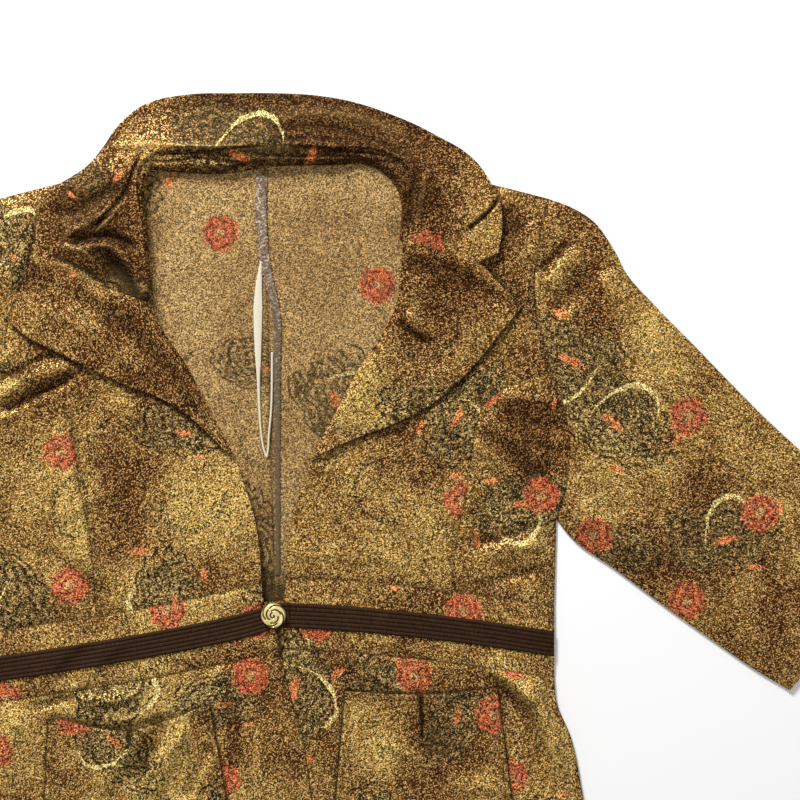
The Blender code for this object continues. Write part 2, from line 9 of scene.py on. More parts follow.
import bpy
import numpy as np
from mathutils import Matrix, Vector


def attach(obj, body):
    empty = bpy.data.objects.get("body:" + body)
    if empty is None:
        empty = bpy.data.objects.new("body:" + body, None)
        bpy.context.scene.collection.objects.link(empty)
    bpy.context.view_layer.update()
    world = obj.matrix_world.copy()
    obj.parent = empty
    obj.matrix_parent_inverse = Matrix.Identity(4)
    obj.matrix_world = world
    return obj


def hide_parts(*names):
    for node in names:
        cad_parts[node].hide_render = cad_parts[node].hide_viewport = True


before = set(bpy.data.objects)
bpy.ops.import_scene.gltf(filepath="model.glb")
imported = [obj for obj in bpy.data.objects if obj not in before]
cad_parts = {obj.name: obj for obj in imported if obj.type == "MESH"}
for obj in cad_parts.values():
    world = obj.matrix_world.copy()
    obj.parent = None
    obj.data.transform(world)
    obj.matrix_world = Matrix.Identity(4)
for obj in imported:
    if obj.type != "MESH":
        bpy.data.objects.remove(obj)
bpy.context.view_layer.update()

MM, MM_PER_DM = 0.001, 100.0
CLOTH, BACK, TRIM, SEAM, LAY = 1.4, 1.5, 1.0, 0.3, 0.35
LOFT, LOFT_REACH, LOFT_BEND, FOLD_REACH = 6.0, 34.0, 2.4, 16.0
FOLD_GAIN, WRINKLE_GAIN, CREASE_GAIN = 1.5, 2.0, 1.35
# The relief gain below paints light on ridges and shade in valleys into the dye tone.
RELIEF_SHADING, RELIEF_MOST = 0.055, 5.0
CREASE_STEPS, STEP_REACH = 12, 12.0
WRINKLE_COUNT, WRINKLE_SEED = 260, 5
LEFT, RIGHT = 1, -1
FINE, COLLAR_FINE, LAPEL_FINE = 8, 11, 10
PICTURE_STEP, PICTURE_ZERO = 0.9, (274.0, 519.0)
FAR = 1e9

# Below, the seam, stitch and rim darkness values are painted shade along seams, stitch lines and borders.
SEAM_DEEP, SEAM_REACH, SEAM_SHADE, SEAM_LINE = 0.9, 3.0, 0.65, 0.8
HEM_HIGH, HEM_WIDE, HEM_SLOPE = 0.8, 6.5, 2.0
STITCH_AT, STITCH_DEEP, STITCH_REACH, STITCH_SHADE, STITCH_LINE = 5.2, 0.6, 1.2, 0.5, 0.9
RIM_SHADE, RIM_LINE, RIM_ROUND, RIM_DROP, RIM_LEAST = 0.85, 1.0, 1.6, 0.45, 0.3
SHARP_ANGLE = math.radians(60)

CENTRE_BACK_TOP, CENTRE_BACK_FOOT = -9.0, 1.0
NECK_Y, NECK_RISE, NECK_CORNER = 318.0, 4.0, 60.0
HEM_Y, HEM_SIDE_RISE = -383.0, 9.0
WAIST_Y, CHEST_HALF = -86.0, 252.0
BAND_ABOVE, BAND_BELOW, OPEN_FOOT = 34.0, 30.0, 8.5
BACK_BAND_TOP, BACK_BAND_FOOT = WAIST_Y + BAND_ABOVE - 12.0, WAIST_Y - BAND_BELOW - 18.0
# Painted shade over the lower back and the back band, deep in the narrow opening.
BACK_SHADE, BACK_SHADE_Y, BACK_SHADE_RUN = 0.95, -15.0, 55.0
LAP_X, LAP_RUN_X, LAP_Y, LAP_RUN_Y = -44.0, 24.0, -24.0, 36.0
# The rib darkness is painted shade in the grooves between the ribs.
RIBBON_WIDE, RIBS, RIB_HIGH, RIBBON_START, RIB_SHADE = 22.5, 6, 0.7, 14.4, 0.8
BUTTON_WIDE, BUTTON_HIGH, BUTTON_RINGS, BUTTON_SPOKES = 22.5, 7.0, 60, 120
COLLAR_ROLL_BACK, COLLAR_ROLL_FRONT, ROLL_BACK_Y, ROLL_BACK_RUN = 10.0, 8.0, 280.0, 45.0
COLLAR_SLACK, COLLAR_LIFT, COLLAR_LIFT_REACH, COLLAR_EDGE_REACH = 0.8, 1.4, 20.0, 6.0
SHOULDER_ABOVE, SHOULDER_RUN, SHOULDER_PEAK = 32.0, 50.0, 30.0
LAPEL_FOOT, LAPEL_ROLL, LAPEL_ROLL_RISE, LAPEL_ROLL_REACH = 54.0, 7.5, 6.0, 46.0
LAPEL_CURL, LAPEL_CURL_REACH, LAPEL_ROOM, LAPEL_ROOM_REACH = 3.2, 26.0, 3.5, 20.0
# Painted shadow beside the lapel and collar edges laid on the front, in the pocket mouths and around the
# pockets.
LAID_SHADOW, LAID_REACH = 0.75, 3.2
MOUTH_SHADOW, MOUTH_REACH, PATCH_REACH = 0.9, 3.0, 2.2
TUCK_DEEP, TUCK_SIDE, TUCK_SIDE_AT, TUCK_SIDE_REACH = 2.4, 2.2, 6.0, 4.0
TUCK_FOLD, TUCK_FOLD_AT, TUCK_FOLD_REACH = 1.6, -14.0, 9.0
END_REACH, END_COLUMNS, GORGE_REACH, GORGE_LAP, GORGE_LAY = 0.17, 34, 28.0, 2.0, 0.5

PRINCESS_ROWS, YOKE_ROWS, ARM_ROWS, UNDERARM_ROWS, SIDE_ROWS = (FINE * n for n in (10, 5, 7, 6, 4))
FRONT_COLUMNS, SIDE_COLUMNS, SLEEVE_COLUMNS = FINE * 10, FINE * 5, FINE * 14
BACK_ARM_ROWS, BACK_SIDE_ROWS, BACK_COLUMNS = 60, 20, 80
UNDER_COLUMNS, BAND_ROWS, BACK_SKIRT_ROWS = 60, 12, 30
ALLOWANCE_CELLS, LOOP_CELLS, UNDER_SLEEVE_POINTS = (220, 6), (260, 4), (45, 31)
COLLAR_STEPS, COLLAR_COLUMNS, STAND_ROWS = COLLAR_FINE * 34, COLLAR_FINE * 5, COLLAR_FINE * 2
LAPEL_ROWS, LAPEL_COLUMNS = LAPEL_FINE * 12, LAPEL_FINE * 7
POCKET_IN, POCKET_OUT = FINE * 4, FINE * 12

CAMERA_PLACE, LENS, SENSOR, VIEW_END = (0.1134, 0.1071, 3.0), 150.0, 36.0, 20.0
SKY_POWER, LIT_POINT = 0.36, Vector((0.1, 0.1, 0.0))
FLOOR_HALF, FLOOR_WHITE = 12.0, (0.93, 0.93, 0.93)

Point = namedtuple("Point", "x y")
Waist = namedtuple("Waist", "drop bend")
BandEnd = namedtuple("BandEnd", "top ribbon foot")
Lapel = namedtuple("Lapel", "gorge_y notch tip lower")
Fold = namedtuple("Fold", "x0 y0 x1 y1 wide high")
Strip = namedtuple("Strip", "x y wide lift")
SkirtRow = namedtuple("SkirtRow", "rows y_front y_pocket_in y_pocket_out y_side x_in x_out")
Pocket = namedtuple("Pocket", "sag lift tuck_from")
Crease = namedtuple("Crease", "wide high dark line step", defaults=(0,))
Tone = namedtuple("Tone", "x y reach gold")
PetalRing = namedtuple("PetalRing", "count turn outer inner sweep")
Motif = namedtuple("Motif", "cell loose shift least")
Lamp = namedtuple("Lamp", "name place size power")


def points(*pairs):
    return [Point(x, y) for x, y in pairs]


def table(kind, *rows):
    return [kind(*row) for row in rows]


LAMPS = table(Lamp, ("key", (-0.9, 2.3, 1.5), 0.8, 112.0), ("fill", (1.8, -0.9, 2.6), 2.2, 16.0))
PETALS = table(PetalRing, (4, 0.5, 1.0, 0.66, 1.5), (3, 0.2, 0.60, 0.40, 1.7), (1, 2.0, 0.26, 0.05, 4.5))
WAIST = {LEFT: Waist(26.0, 1.6), RIGHT: Waist(49.0, 0.75)}
BAND_END = {LEFT: BandEnd(12.0, -14.0, -14.0), RIGHT: BandEnd(11.0, -14.0, -7.0)}
POCKET = {LEFT: Pocket(4.0, 3.0, 0.70), RIGHT: Pocket(16.0, 5.5, 0.84)}
SKIRT_EDGE = {
    LEFT: points((-14, -110), (-14, -250), (-14, -383)),
    RIGHT: points((-7, -110), (-8, -130), (-14, -154), (-27, -200), (-35, -253), (-46, -383))}
SKIRT = {
    LEFT: table(
        SkirtRow,
        (3, -383, -382, -377, -374, 46, 226), (8, -318, -318, -316, -316, 50, 222),
        (2, -156, -154, -151, -158, 64, 201)),
    RIGHT: table(
        SkirtRow,
        (3, -383, -382, -377, -374, 20, 216), (8, -336, -336, -344, -340, 27, 210),
        (2, -160, -166, -178, -184, 57, 202))}
LAPEL = {
    LEFT: Lapel(252.0, Point(184, 232), Point(223, 190), points(
        (49, 62), (77, 74), (106, 85), (143, 104), (167, 125), (185, 144), (203, 167), (223, 190))),
    RIGHT: Lapel(195.0, Point(218, 232), Point(237, 178), points(
        (46, 64), (67, 85), (98, 107), (134, 121), (166, 136), (200, 153), (221, 164), (237, 178)))}
FRONT_EDGE = points(
    (12, -52), (13, -24), (17, 0), (28, 36), (35, 56), (47, 80), (60, 104), (81, 143), (97, 166),
    (109, 190), (114, 220), (117, 262), (122, 294), (120, 318))
SHOULDER = points((120, 318), (160, 309), (200, 300), (247, 288))
ARMHOLE = points((247, 288), (239, 255), (235, 224), (235, 197), (240, 167), (250, 133))
UNDERARM = points((250, 133), (262, 96), (266, 71), (265, 48), (261, 21), (254, 0))
PRINCESS = points((159, -65), (166, -8), (175, 34), (179, 68), (186, 100))
YOKE = points((186, 100), (200, 113), (217, 122), (250, 133))
SLEEVE_OVER = points(
    (247, 288), (268, 280), (287, 268), (303, 247), (319, 218), (338, 197), (379, 155), (407, 126),
    (447, 86), (473, 62), (520, 18), (569, -29))
SLEEVE_UNDER = points((254, 0), (267, -16), (308, -46), (359, -84), (400, -113), (432, -135), (464, -154))
SKIRT_SIDE = points((252, 0), (254, 22), (266, 51), (279, 113), (303, 245))
ROLL_LINE = points(
    (-111, 196), (-114, 222), (-117, 262), (-122, 294), (-118, 321), (-100, 331), (-50, 334), (0, 335),
    (50, 334), (100, 331), (118, 321), (122, 294), (117, 266), (116, 253))
STAND_LINE = points(
    (-108, 196), (-111, 222), (-114, 262), (-117, 290), (-109, 312), (-92, 312), (-50, 310), (0, 317),
    (50, 318), (88, 317), (106, 304), (114, 287), (114, 266), (113, 253))
COLLAR_EDGE = points(
    (-215, 250), (-213, 264), (-211, 281), (-200, 296), (-184, 306), (-167, 318), (-154, 334), (-141, 353),
    (-118, 372), (-76, 382), (-38, 383), (0, 383), (38, 381), (72, 375), (100, 366), (127, 355),
    (150, 343), (171, 331), (184, 319), (196, 300), (203, 285), (205, 262), (202, 241))

SLEEVE_FOLDS = table(
    Fold,
    (292, 236, 372, 92, 22, 2.6), (270, 6, 335, -30, 12, 2.4), (420, 60, 500, -60, 26, 2.2),
    (330, 60, 420, -70, 20, 1.8))
FOLDS = table(
    Fold,
    (284, 262, 228, 200, 10, 1.6), (300, 232, 250, 180, 8, -2.6), (150, 96, 224, 34, 10, 3.6),
    (205, 96, 264, 80, 8, -2.6), (205, 112, 258, 104, 7, 2.6), (204, -18, 251, -27, 10, 1),
    (70, 40, 150, -30, 26, 1.8), (192, -132, 234, -160, 12, 3.2), (228, -152, 262, -226, 12, 3.8),
    (205, -160, 236, -250, 10, -2.2), (-192, 151, -250, 106, 9, 2.6), (-166, 139, -250, 88, 9, 2.6),
    (-180, 128, -240, 96, 6, -2.6), (-120, 60, -60, -30, 24, 2), (-190, 40, -170, -60, 14, 1.8),
    (-80, -182, -128, -254, 9, 4), (-58, -210, -100, -300, 9, 3.6), (-118, -190, -152, -244, 8, 3.2),
    (-100, -190, -136, -256, 8, -2.2), (110, -176, 92, -280, 13, 1.6), (178, -176, 190, -290, 12, 1.6),
    (-300, 232, -250, 180, 9, 2.6), (-228, -176, -262, -246, 13, 3.6))
FOLDS += [row._replace(x0=side * row.x0, x1=side * row.x1) for side in (LEFT, RIGHT) for row in SLEEVE_FOLDS]
ALLOWANCE = table(
    Strip,
    (-10.8, 309, 10, 0), (-11.7, 287, 10, 0.4), (-10.8, 260, 9, 0.4), (-9, 238, 8, 0.6), (-4.5, 215, 7, 1),
    (0.9, 193, 6, 1.4), (2.9, 175, 5.5, 1.2), (2.9, 152, 5, 0.8), (2.9, 107, 4.6, 0.4),
    (3.2, 62, 4.4, 0.2), (3.6, 0, 4, 0), (3.6, -50, 4, 0))
LOOP = table(
    Strip,
    (-11.4, 232, 2, 0.2), (-13.4, 213, 5.5, 0.5), (-14.4, 188, 8, 0.8), (-14.4, 161, 7, 0.9),
    (-14, 134, 5.5, 1), (-13, 98, 3.2, 0.9), (-11.3, 75.6, 2.4, 0.8), (-8.3, 60, 2, 0.6),
    (-6.6, 55.8, 1.8, 0.5), (-5.6, 60.3, 1.8, 0.6), (-4.5, 75.6, 1.9, 0.8), (-2.6, 96, 2, 0.9),
    (-1.7, 125, 2, 0.9), (-1.6, 150, 2, 0.6))

# Main creases of each layer, as lines in the picture's own points: half width, height, darkness (painted
# shade along the crease; below zero a painted highlight), the line and, where one side lies higher, the rise
# of its left side.
CREASES = {
    "front": table(
        Crease,
        (5, -3.6, 0.4, ((66, 350), (30, 366), (-10, 388))),
        (7, 2.6, 0, ((78, 362), (30, 382), (-10, 400))),
        (5, -3.6, 0.4, ((92, 366), (40, 392), (-10, 414))),
        (7, -2.8, 0.1, ((40, 545), (80, 575), (112, 602))),
        (8, 2.4, 0, ((56, 410), (66, 450), (78, 510), (96, 590))),
        (3, -1.8, 0.35, ((68, 405), (77, 450), (89, 510), (109, 610))),
        (7, 2.4, 0, ((20, 560), (60, 590), (90, 612))),
        (5, -4.5, 0.4, ((575, 238), (557, 256), (537, 278))),
        (10, 1.8, 0, ((588, 250), (566, 268), (546, 290))),
        (9, -3.6, 0.15, ((506, 206), (511, 222), (514, 240))),
        (9, 3, 0, ((528, 222), (535, 240), (532, 262))),
        (1.2, -0.6, 0.5, ((503, 195), (535, 197), (549, 201))),
        (7, -3.4, 0.2, ((470, 425), (500, 448), (545, 486))),
        (7, 3, 0, ((480, 415), (512, 436), (552, 468))),
        (6, -3, 0.15, ((462, 548), (505, 536), (553, 524))),
        (8, 1.4, 0, ((470, 560), (510, 550), (553, 540))),
        (5, -2.6, 0.1, ((470, 590), (515, 575), (553, 566))),
        (2, -1.4, 0.4, ((540, 335), (547, 365), (557, 395))),
        (7, 4.4, 0, ((490, 665), (534, 699), (566, 765))),
        (6, -3.6, 0.2, ((478, 668), (520, 706), (548, 770))),
        (3, -2, 1, ((277, 612), (278, 628), (280, 645), (282, 664))),
        (4, -1.5, 0.9, ((40, 712), (87, 723), (110, 727), (140, 723), (190, 704))),
        (6, -5, 0.2, ((168, 716), (152, 748), (136, 782))),
        (7, 5, 0, ((190, 722), (172, 758), (152, 800))),
        (6, -5, 0.2, ((212, 738), (196, 772), (180, 806))), (6, 3, 0, ((60, 690), (100, 700), (150, 690))),
        (5, -3, 0.25, ((30, 708), (60, 700), (95, 690))),
        (6, -2.6, 0.1, ((225, 690), (236, 730), (232, 790))),
        (6, 2.6, 0, ((246, 690), (258, 730), (256, 790)))),
    "pocket": table(
        Crease,
        (4, 0, 0.35, ((168, 718), (152, 748), (136, 780))),
        (5, 0, 0.3, ((212, 740), (196, 775), (180, 806)))),
    "lapel": table(
        Crease,
        (7, 3.4, 0, ((455, 254), (490, 282), (518, 306))),
        (9, -4, 0.1, ((395, 258), (447, 276), (475, 290), (508, 308))),
        (2.6, -3, 0.8, ((396, 316), (412, 334), (433, 346))),
        (5, 2.4, 0, ((404, 310), (424, 328), (442, 336))), (9, 2, 0, ((20, 300), (90, 330), (170, 390))),
        (8, -1.8, 0.1, ((60, 290), (120, 325), (190, 395)))),
    "collar": table(
        Crease,
        (3, 2, -0.35, ((95, 146), (120, 146), (150, 145), (200, 148), (260, 149), (320, 150))),
        (1.4, -1.4, 0.85, ((120, 150), (140, 153), (180, 154), (225, 151),
                           (260, 147), (310, 148), (350, 152), (420, 163))),
        (1.6, -1.2, 0.75, ((138, 158), (165, 163), (200, 159), (235, 163), (262, 162))),
        (2, -1.4, 0.95, ((140, 164), (165, 170), (200, 174), (228, 170), (250, 163), (275, 162))),
        (1.5, -1.2, 0.6, ((255, 155), (300, 158), (335, 157), (365, 159))),
        (1.8, -1.2, 0.85, ((262, 163), (300, 166), (330, 164), (352, 160), (385, 163), (425, 166))),
        (4, -2.6, 0.55, ((265, 132), (300, 128), (335, 130), (375, 143), (420, 158))),
        (3, -1.6, 0.45, ((270, 142), (310, 140), (350, 143), (390, 152))),
        (5, 2.4, -0.12, ((270, 118), (320, 113), (370, 122), (420, 140))),
        (2.4, -3.2, 1, ((146, 146), (136, 170), (127, 193), (110, 214), (88, 238)), 3.4),
        (1.5, 0.6, -0.5, ((126, 200), (112, 218), (94, 236))),
        (4.5, -4.5, 0.85, ((70, 240), (88, 240), (104, 237), (142, 250))),
        (4.5, 4.6, -0.12, ((74, 256), (92, 247), (110, 247), (128, 262), (140, 296))),
        (10, -5, 1, ((98, 258), (112, 264), (126, 276), (138, 296), (152, 322))),
        (3, -4, 1, ((50, 254), (66, 261), (82, 268), (112, 286))),
        (3.5, 3, -0.25, ((46, 258), (66, 268), (84, 276), (108, 288))),
        (3, 2, -0.2, ((58, 246), (78, 250), (98, 262))),
        (7, -3, 0.5, ((50, 206), (72, 214), (92, 204), (130, 182))),
        (4, 2.4, -0.1, ((62, 240), (85, 226), (125, 204))),
        (1.7, -3, 1, ((462, 233), (472, 226), (485, 215), (496, 202), (501, 192)), 3.6),
        (3, -1.4, 0.3, ((440, 164), (455, 171), (474, 191))),
        (5, -2.4, 0.6, ((416, 166), (414, 186), (410, 206), (404, 236))),
        (3, 1.8, -0.1, ((424, 170), (424, 190), (420, 208), (416, 226))))}

# Where each layer of cloth runs to gold (above zero) or to brown: mostly the dye's own run, but the "side"
# rows, the collar's spot at (125, 275) and the back's spots at the neck opening's edges and low in the middle
# are painted shade.
TONES = {
    "front": table(
        Tone,
        (30, 497, 60, 0.25), (215, 508, 55, 0.45), (118, 470, 45, -0.45), (125, 545, 35, -0.3),
        (155, 582, 45, 0.4), (355, 520, 60, 0.08), (440, 450, 40, -0.2), (535, 440, 50, -0.6),
        (520, 240, 50, -0.15), (650, 330, 50, 0.35), (600, 300, 35, -0.3), (600, 460, 45, 0.22),
        (700, 480, 65, -0.2), (740, 590, 70, -0.25), (640, 560, 40, -0.15), (745, 410, 40, 0.15),
        (250, 715, 55, -0.35), (145, 765, 60, 0.55), (370, 735, 40, 0.24), (455, 745, 45, -0.35),
        (420, 660, 70, 0.08), (20, 580, 40, -0.05), (160, 625, 50, 0.15), (40, 390, 45, -0.25)),
    "side": table(
        Tone,
        (30, 500, 40, -0.12), (25, 600, 40, -0.1)),
    "lapel": table(
        Tone,
        (108, 350, 80, -0.35), (30, 280, 45, -0.35), (440, 285, 60, -0.45), (375, 415, 55, 0.6),
        (500, 320, 30, 0.25)),
    "collar": table(
        Tone,
        (330, 120, 95, -1.05), (215, 118, 50, -0.65), (140, 125, 45, -0.25), (450, 195, 50, -0.25),
        (90, 220, 60, -0.8), (125, 275, 24, -0.5), (490, 240, 25, 0.2), (140, 148, 30, 0.1),
        (410, 200, 30, -0.4)),
    "back": table(
        Tone,
        (200, 260, 90, 0.1), (350, 255, 85, -0.2), (270, 540, 60, -0.1), (145, 230, 22, -0.5),
        (398, 230, 18, -0.5))}


def on_picture(places):
    """Picture points turned into the garment's millimetres."""
    return (np.array(places, float) - PICTURE_ZERO) * np.array([PICTURE_STEP, -PICTURE_STEP])


def ease(t):
    """Smooth step from 0 to 1."""
    t = np.clip(t, 0.0, 1.0)
    return t * t * (3.0 - 2.0 * t)


def bell(distance, reach):
    """Soft bump: 1 at no distance, fading over the reach."""
    return np.exp(-(distance / reach) ** 2)


def run_along(line):
    """Length of a line up to each of its points."""
    return np.concatenate([[0.0], np.cumsum(np.linalg.norm(np.diff(line, axis=0), axis=1))])


def spline(knots, count):
    """count + 1 evenly spaced points on a smooth curve through the knots."""
    knots = np.array(knots, float)
    if len(knots) == 2:
        return np.linspace(knots[0], knots[1], count + 1)
    along = run_along(knots)
    slope = np.gradient(knots, along, axis=0)
    fine = np.linspace(0.0, along[-1], 20 * count + 1)
    cell = np.clip(np.searchsorted(along, fine, side="right") - 1, 0, len(along) - 2)
    step = (along[cell + 1] - along[cell])[:, None]
    t = ((fine - along[cell]) / step[:, 0])[:, None]
    curve = ((2 * t**3 - 3 * t**2 + 1) * knots[cell] + (t**3 - 2 * t**2 + t) * step * slope[cell]
             + (3 * t**2 - 2 * t**3) * knots[cell + 1] + (t**3 - t**2) * step * slope[cell + 1])
    run = run_along(curve)
    even = np.linspace(0.0, run[-1], count + 1)
    return np.stack([np.interp(even, run, curve[:, k]) for k in range(knots.shape[1])], axis=1)


def join(*lines):
    return np.concatenate([lines[0]] + [line[1:] for line in lines[1:]])


def coons(bottom, top, inner, outer):
    """Grid of points inside four edges; bottom and top run from inner to outer."""
    u = np.linspace(0, 1, len(bottom))[:, None, None]
    v = np.linspace(0, 1, len(inner))[None, :, None]
    across = (1 - u) * inner[None] + u * outer[None]
    upward = (1 - v) * bottom[:, None] + v * top[:, None]
    corners = ((1 - u) * (1 - v) * bottom[0] + u * (1 - v) * bottom[-1]
               + (1 - u) * v * top[0] + u * v * top[-1])
    return across + upward - corners


def fan(inner, outer, first, last):
    """Grid between two long edges; its two end rows follow lines of their own."""
    u = np.linspace(0, 1, len(first))[:, None, None]
    v = np.linspace(0, 1, len(inner))[None, :, None]
    grid = (1 - u) * inner[None] + u * outer[None]
    for end, line, near in ((0, first, ease(1 - v / END_REACH)), (-1, last, ease(1 - (1 - v) / END_REACH))):
        grid = grid + near * (line[:, None] - grid[:, end:end + 1 or None])
    return grid


def mirror(line, side):
    return np.array(line, float) * np.array([side, 1.0])


def waist_y(x, side):
    row = WAIST[side]
    return WAIST_Y - row.drop * (np.clip(x, 0, None) / CHEST_HALF) ** row.bend


def seam_at(line, side, shift):
    return np.array([(x, waist_y(x, side) + shift) for x in line])


def skirt_side(side, count):
    top = waist_y(CHEST_HALF, side) - BAND_BELOW
    line = spline(np.array([(row.x, top - row.y) for row in SKIRT_SIDE]), 60)[::-1]
    ys = np.linspace(HEM_Y + HEM_SIDE_RISE, top, count + 1)
    return np.stack([np.interp(ys, line[:, 1], line[:, 0]), ys], axis=1)


def outline(side):
    """Outer edge of one half, from the neck over the sleeve and down the side."""
    cuff = spline([SLEEVE_OVER[-1], SLEEVE_UNDER[-1]], 6)
    flank = spline([UNDERARM[-1], skirt_side(side, 2)[-1]], 4)
    over, under = spline(SLEEVE_OVER, 24), spline(SLEEVE_UNDER[::-1], 12)
    return mirror(join(spline(SHOULDER, 6), over, cuff, under, flank, skirt_side(side, 12)[::-1]), side)


OUTLINES = [outline(side) for side in (LEFT, RIGHT)]


def nearest(grid, line):
    """Distance of each point from a line, the share of the line passed there, and the offset to its left."""
    x, y = grid[..., 0], grid[..., 1]
    run = run_along(line)
    best, share, aside = np.full(x.shape, FAR), np.zeros(x.shape), np.zeros(x.shape)
    for k, (a, b) in enumerate(zip(line[:-1], line[1:])):
        step = run[k + 1] - run[k]
        along = (b - a) / step
        t = np.clip((x - a[0]) * along[0] + (y - a[1]) * along[1], 0, step)
        away = np.hypot(x - a[0] - t * along[0], y - a[1] - t * along[1])
        near = away < best
        best = np.where(near, away, best)
        share = np.where(near, (run[k] + t) / run[-1], share)
        aside = np.where(near, along[0] * (y - a[1]) - along[1] * (x - a[0]), aside)
    return best, share, aside


def line_distance(grid, line):
    return nearest(grid, line)[0]


def fold_height(grid, folds):
    """Long soft folds, steeper on one side."""
    x, y = grid[..., 0], grid[..., 1]
    total = np.zeros(np.shape(x))
    for row in folds:
        dx, dy = row.x1 - row.x0, row.y1 - row.y0
        t = ((x - row.x0) * dx + (y - row.y0) * dy) / (dx * dx + dy * dy)
        away = ((x - row.x0) * dy - (y - row.y0) * dx) / math.hypot(dx, dy)
        reach = row.wide * np.where(away * (1 if dx > 0 else -1) > 0, 0.75, 1.35)
        ends = ease((t + 0.15) / 0.3) * ease((1.15 - t) / 0.3)
        total += row.high * ends * bell(away, reach)
    return total


def small_folds(count, seed):
    """Short soft creases scattered over the laid-out garment, mostly running down and outward."""
    draw = np.random.default_rng(seed)
    rows = []
    for _ in range(count):
        x, y = draw.uniform(-540, 540), draw.uniform(-380, 290)
        turn = draw.normal(-0.9 if x > 0 else -2.2, 0.5)
        half = draw.uniform(12, 45)
        dx, dy = half * math.cos(turn), half * math.sin(turn)
        rows.append(Fold(x - dx, y - dy, x + dx, y + dy, draw.uniform(4, 11), draw.uniform(-0.9, 1.3)))
    return rows


WRINKLES = small_folds(WRINKLE_COUNT, WRINKLE_SEED)


def crease_fields(grid, layer):
    """Height of a layer's creases, and the painted shade along them (below zero, painted highlight)."""
    height, dark = np.zeros(grid.shape[:-1]), np.zeros(grid.shape[:-1])
    for row in CREASES[layer]:
        best, share, aside = nearest(grid, spline(on_picture(row.line), CREASE_STEPS))
        ends = ease(share / 0.2) * ease((1 - share) / 0.2) + 0.02
        height += CREASE_GAIN * ends * row.high * bell(best, row.wide)
        height += ends * row.step * (aside > 0) * np.exp(-best / STEP_REACH)
        mark = ends * row.dark * bell(best, 0.8 * row.wide)
        dark = np.where(np.abs(mark) > np.abs(dark), mark, dark)
    return height, dark


def front_relief(grid, creased=True):
    relief = FOLD_GAIN * fold_height(grid, FOLDS) + WRINKLE_GAIN * fold_height(grid, WRINKLES)
    return relief + crease_fields(grid, "front")[0] if creased else 0.5 * relief


def upper_floor(grid, side, creased=True):
    """Underside of the front and the top sleeves; the right half lies over the left one at the button."""
    inside = np.minimum(*(line_distance(grid, line) for line in OUTLINES))
    rise = 1 - (1 - np.clip(inside / LOFT_REACH, 0, 1)) ** LOFT_BEND
    height = BACK + SEAM + LOFT * rise
    height = height + np.maximum(front_relief(grid, creased), -RELIEF_MOST) * ease(inside / FOLD_REACH)
    if side == RIGHT:
        lap = ease((grid[..., 0] - LAP_X) / LAP_RUN_X) * ease((LAP_Y - grid[..., 1]) / LAP_RUN_Y)
        height = height + (CLOTH + LAY) * lap
    return height


def tone_at(grid, layer):
    total = np.zeros(grid.shape[:2])
    for row in TONES[layer]:
        centre = on_picture((row.x, row.y))
        total += row.gold * np.exp(-((grid - centre) ** 2).sum(-1) / (row.reach * PICTURE_STEP) ** 2)
    return total


def dye_tone_and_shading(grid, layer):
    """Dye tone of a layer, plus painted light on ridges and painted shade in valleys of its relief."""
    relief = front_relief(grid) if layer == "front" else crease_fields(grid, layer)[0]
    return tone_at(grid, layer) + RELIEF_SHADING * np.clip(relief, -RELIEF_MOST, RELIEF_MOST)


def refined(count, spots=()):
    """Places along an edge in cells, with extra ones close to the borders and to given spots."""
    at = set(range(count + 1)) | {0.12, 0.45, count - 0.12, count - 0.45}
    for spot in spots:
        at |= {spot + sign * gap for gap in (0.08, 0.25, 0.5) for sign in (-1, 1)}
    return np.array(sorted(a for a in at if 0 <= a <= count))


def resample(field, us, vs):
    """A grid of values read at places between its cells."""
    i = np.clip(us.astype(int), 0, field.shape[0] - 2)
    j = np.clip(vs.astype(int), 0, field.shape[1] - 2)
    rest = (1,) * (field.ndim - 2)
    a = (us - i).reshape((-1, 1) + rest)
    b = (vs - j).reshape((1, -1) + rest)
    low = field[i][:, j] * (1 - a) + field[i + 1][:, j] * a
    high = field[i][:, j + 1] * (1 - a) + field[i + 1][:, j + 1] * a
    return low * (1 - b) + high * b


def denser(grid):
    return resample(grid, refined(grid.shape[0] - 1), refined(grid.shape[1] - 1))


def edge_runs(grid):
    """Distance of each grid point from the four borders: first and last column, first and last row."""
    du = np.linalg.norm(np.diff(grid, axis=0), axis=2)
    dv = np.linalg.norm(np.diff(grid, axis=1), axis=2)
    u0 = np.concatenate([np.zeros((1, grid.shape[1])), np.cumsum(du, 0)])
    v0 = np.concatenate([np.zeros((grid.shape[0], 1)), np.cumsum(dv, 1)], axis=1)
    return {"u0": u0, "u1": u0[-1:] - u0, "v0": v0, "v1": v0[:, -1:] - v0}


def closed_faces(grid):
    """Quads of the top, the underside and the rim of a sheet."""
    n, m = grid.shape[:2]
    at = np.arange(n * m).reshape(n, m)
    quads = np.stack([at[:-1, :-1], at[1:, :-1], at[1:, 1:], at[:-1, 1:]], axis=-1).reshape(-1, 4)
    ring = np.concatenate([at[:, 0], at[-1, 1:], at[-2::-1, -1], at[0, -2:0:-1]])
    ahead = np.roll(ring, -1)
    rim = np.stack([ring + n * m, ahead + n * m, ahead, ring], axis=-1)
    faces = np.concatenate([quads, quads[:, ::-1] + n * m, rim])
    span_u, span_v = grid[-1, 0] - grid[0, 0], grid[0, -1] - grid[0, 0]
    mirrored = span_u[0] * span_v[1] - span_u[1] * span_v[0] < 0
    return faces[:, ::-1] if mirrored else faces


def add_object(name, data):
    thing = bpy.data.objects.new(name, data)
    bpy.context.scene.collection.objects.link(thing)
    return thing


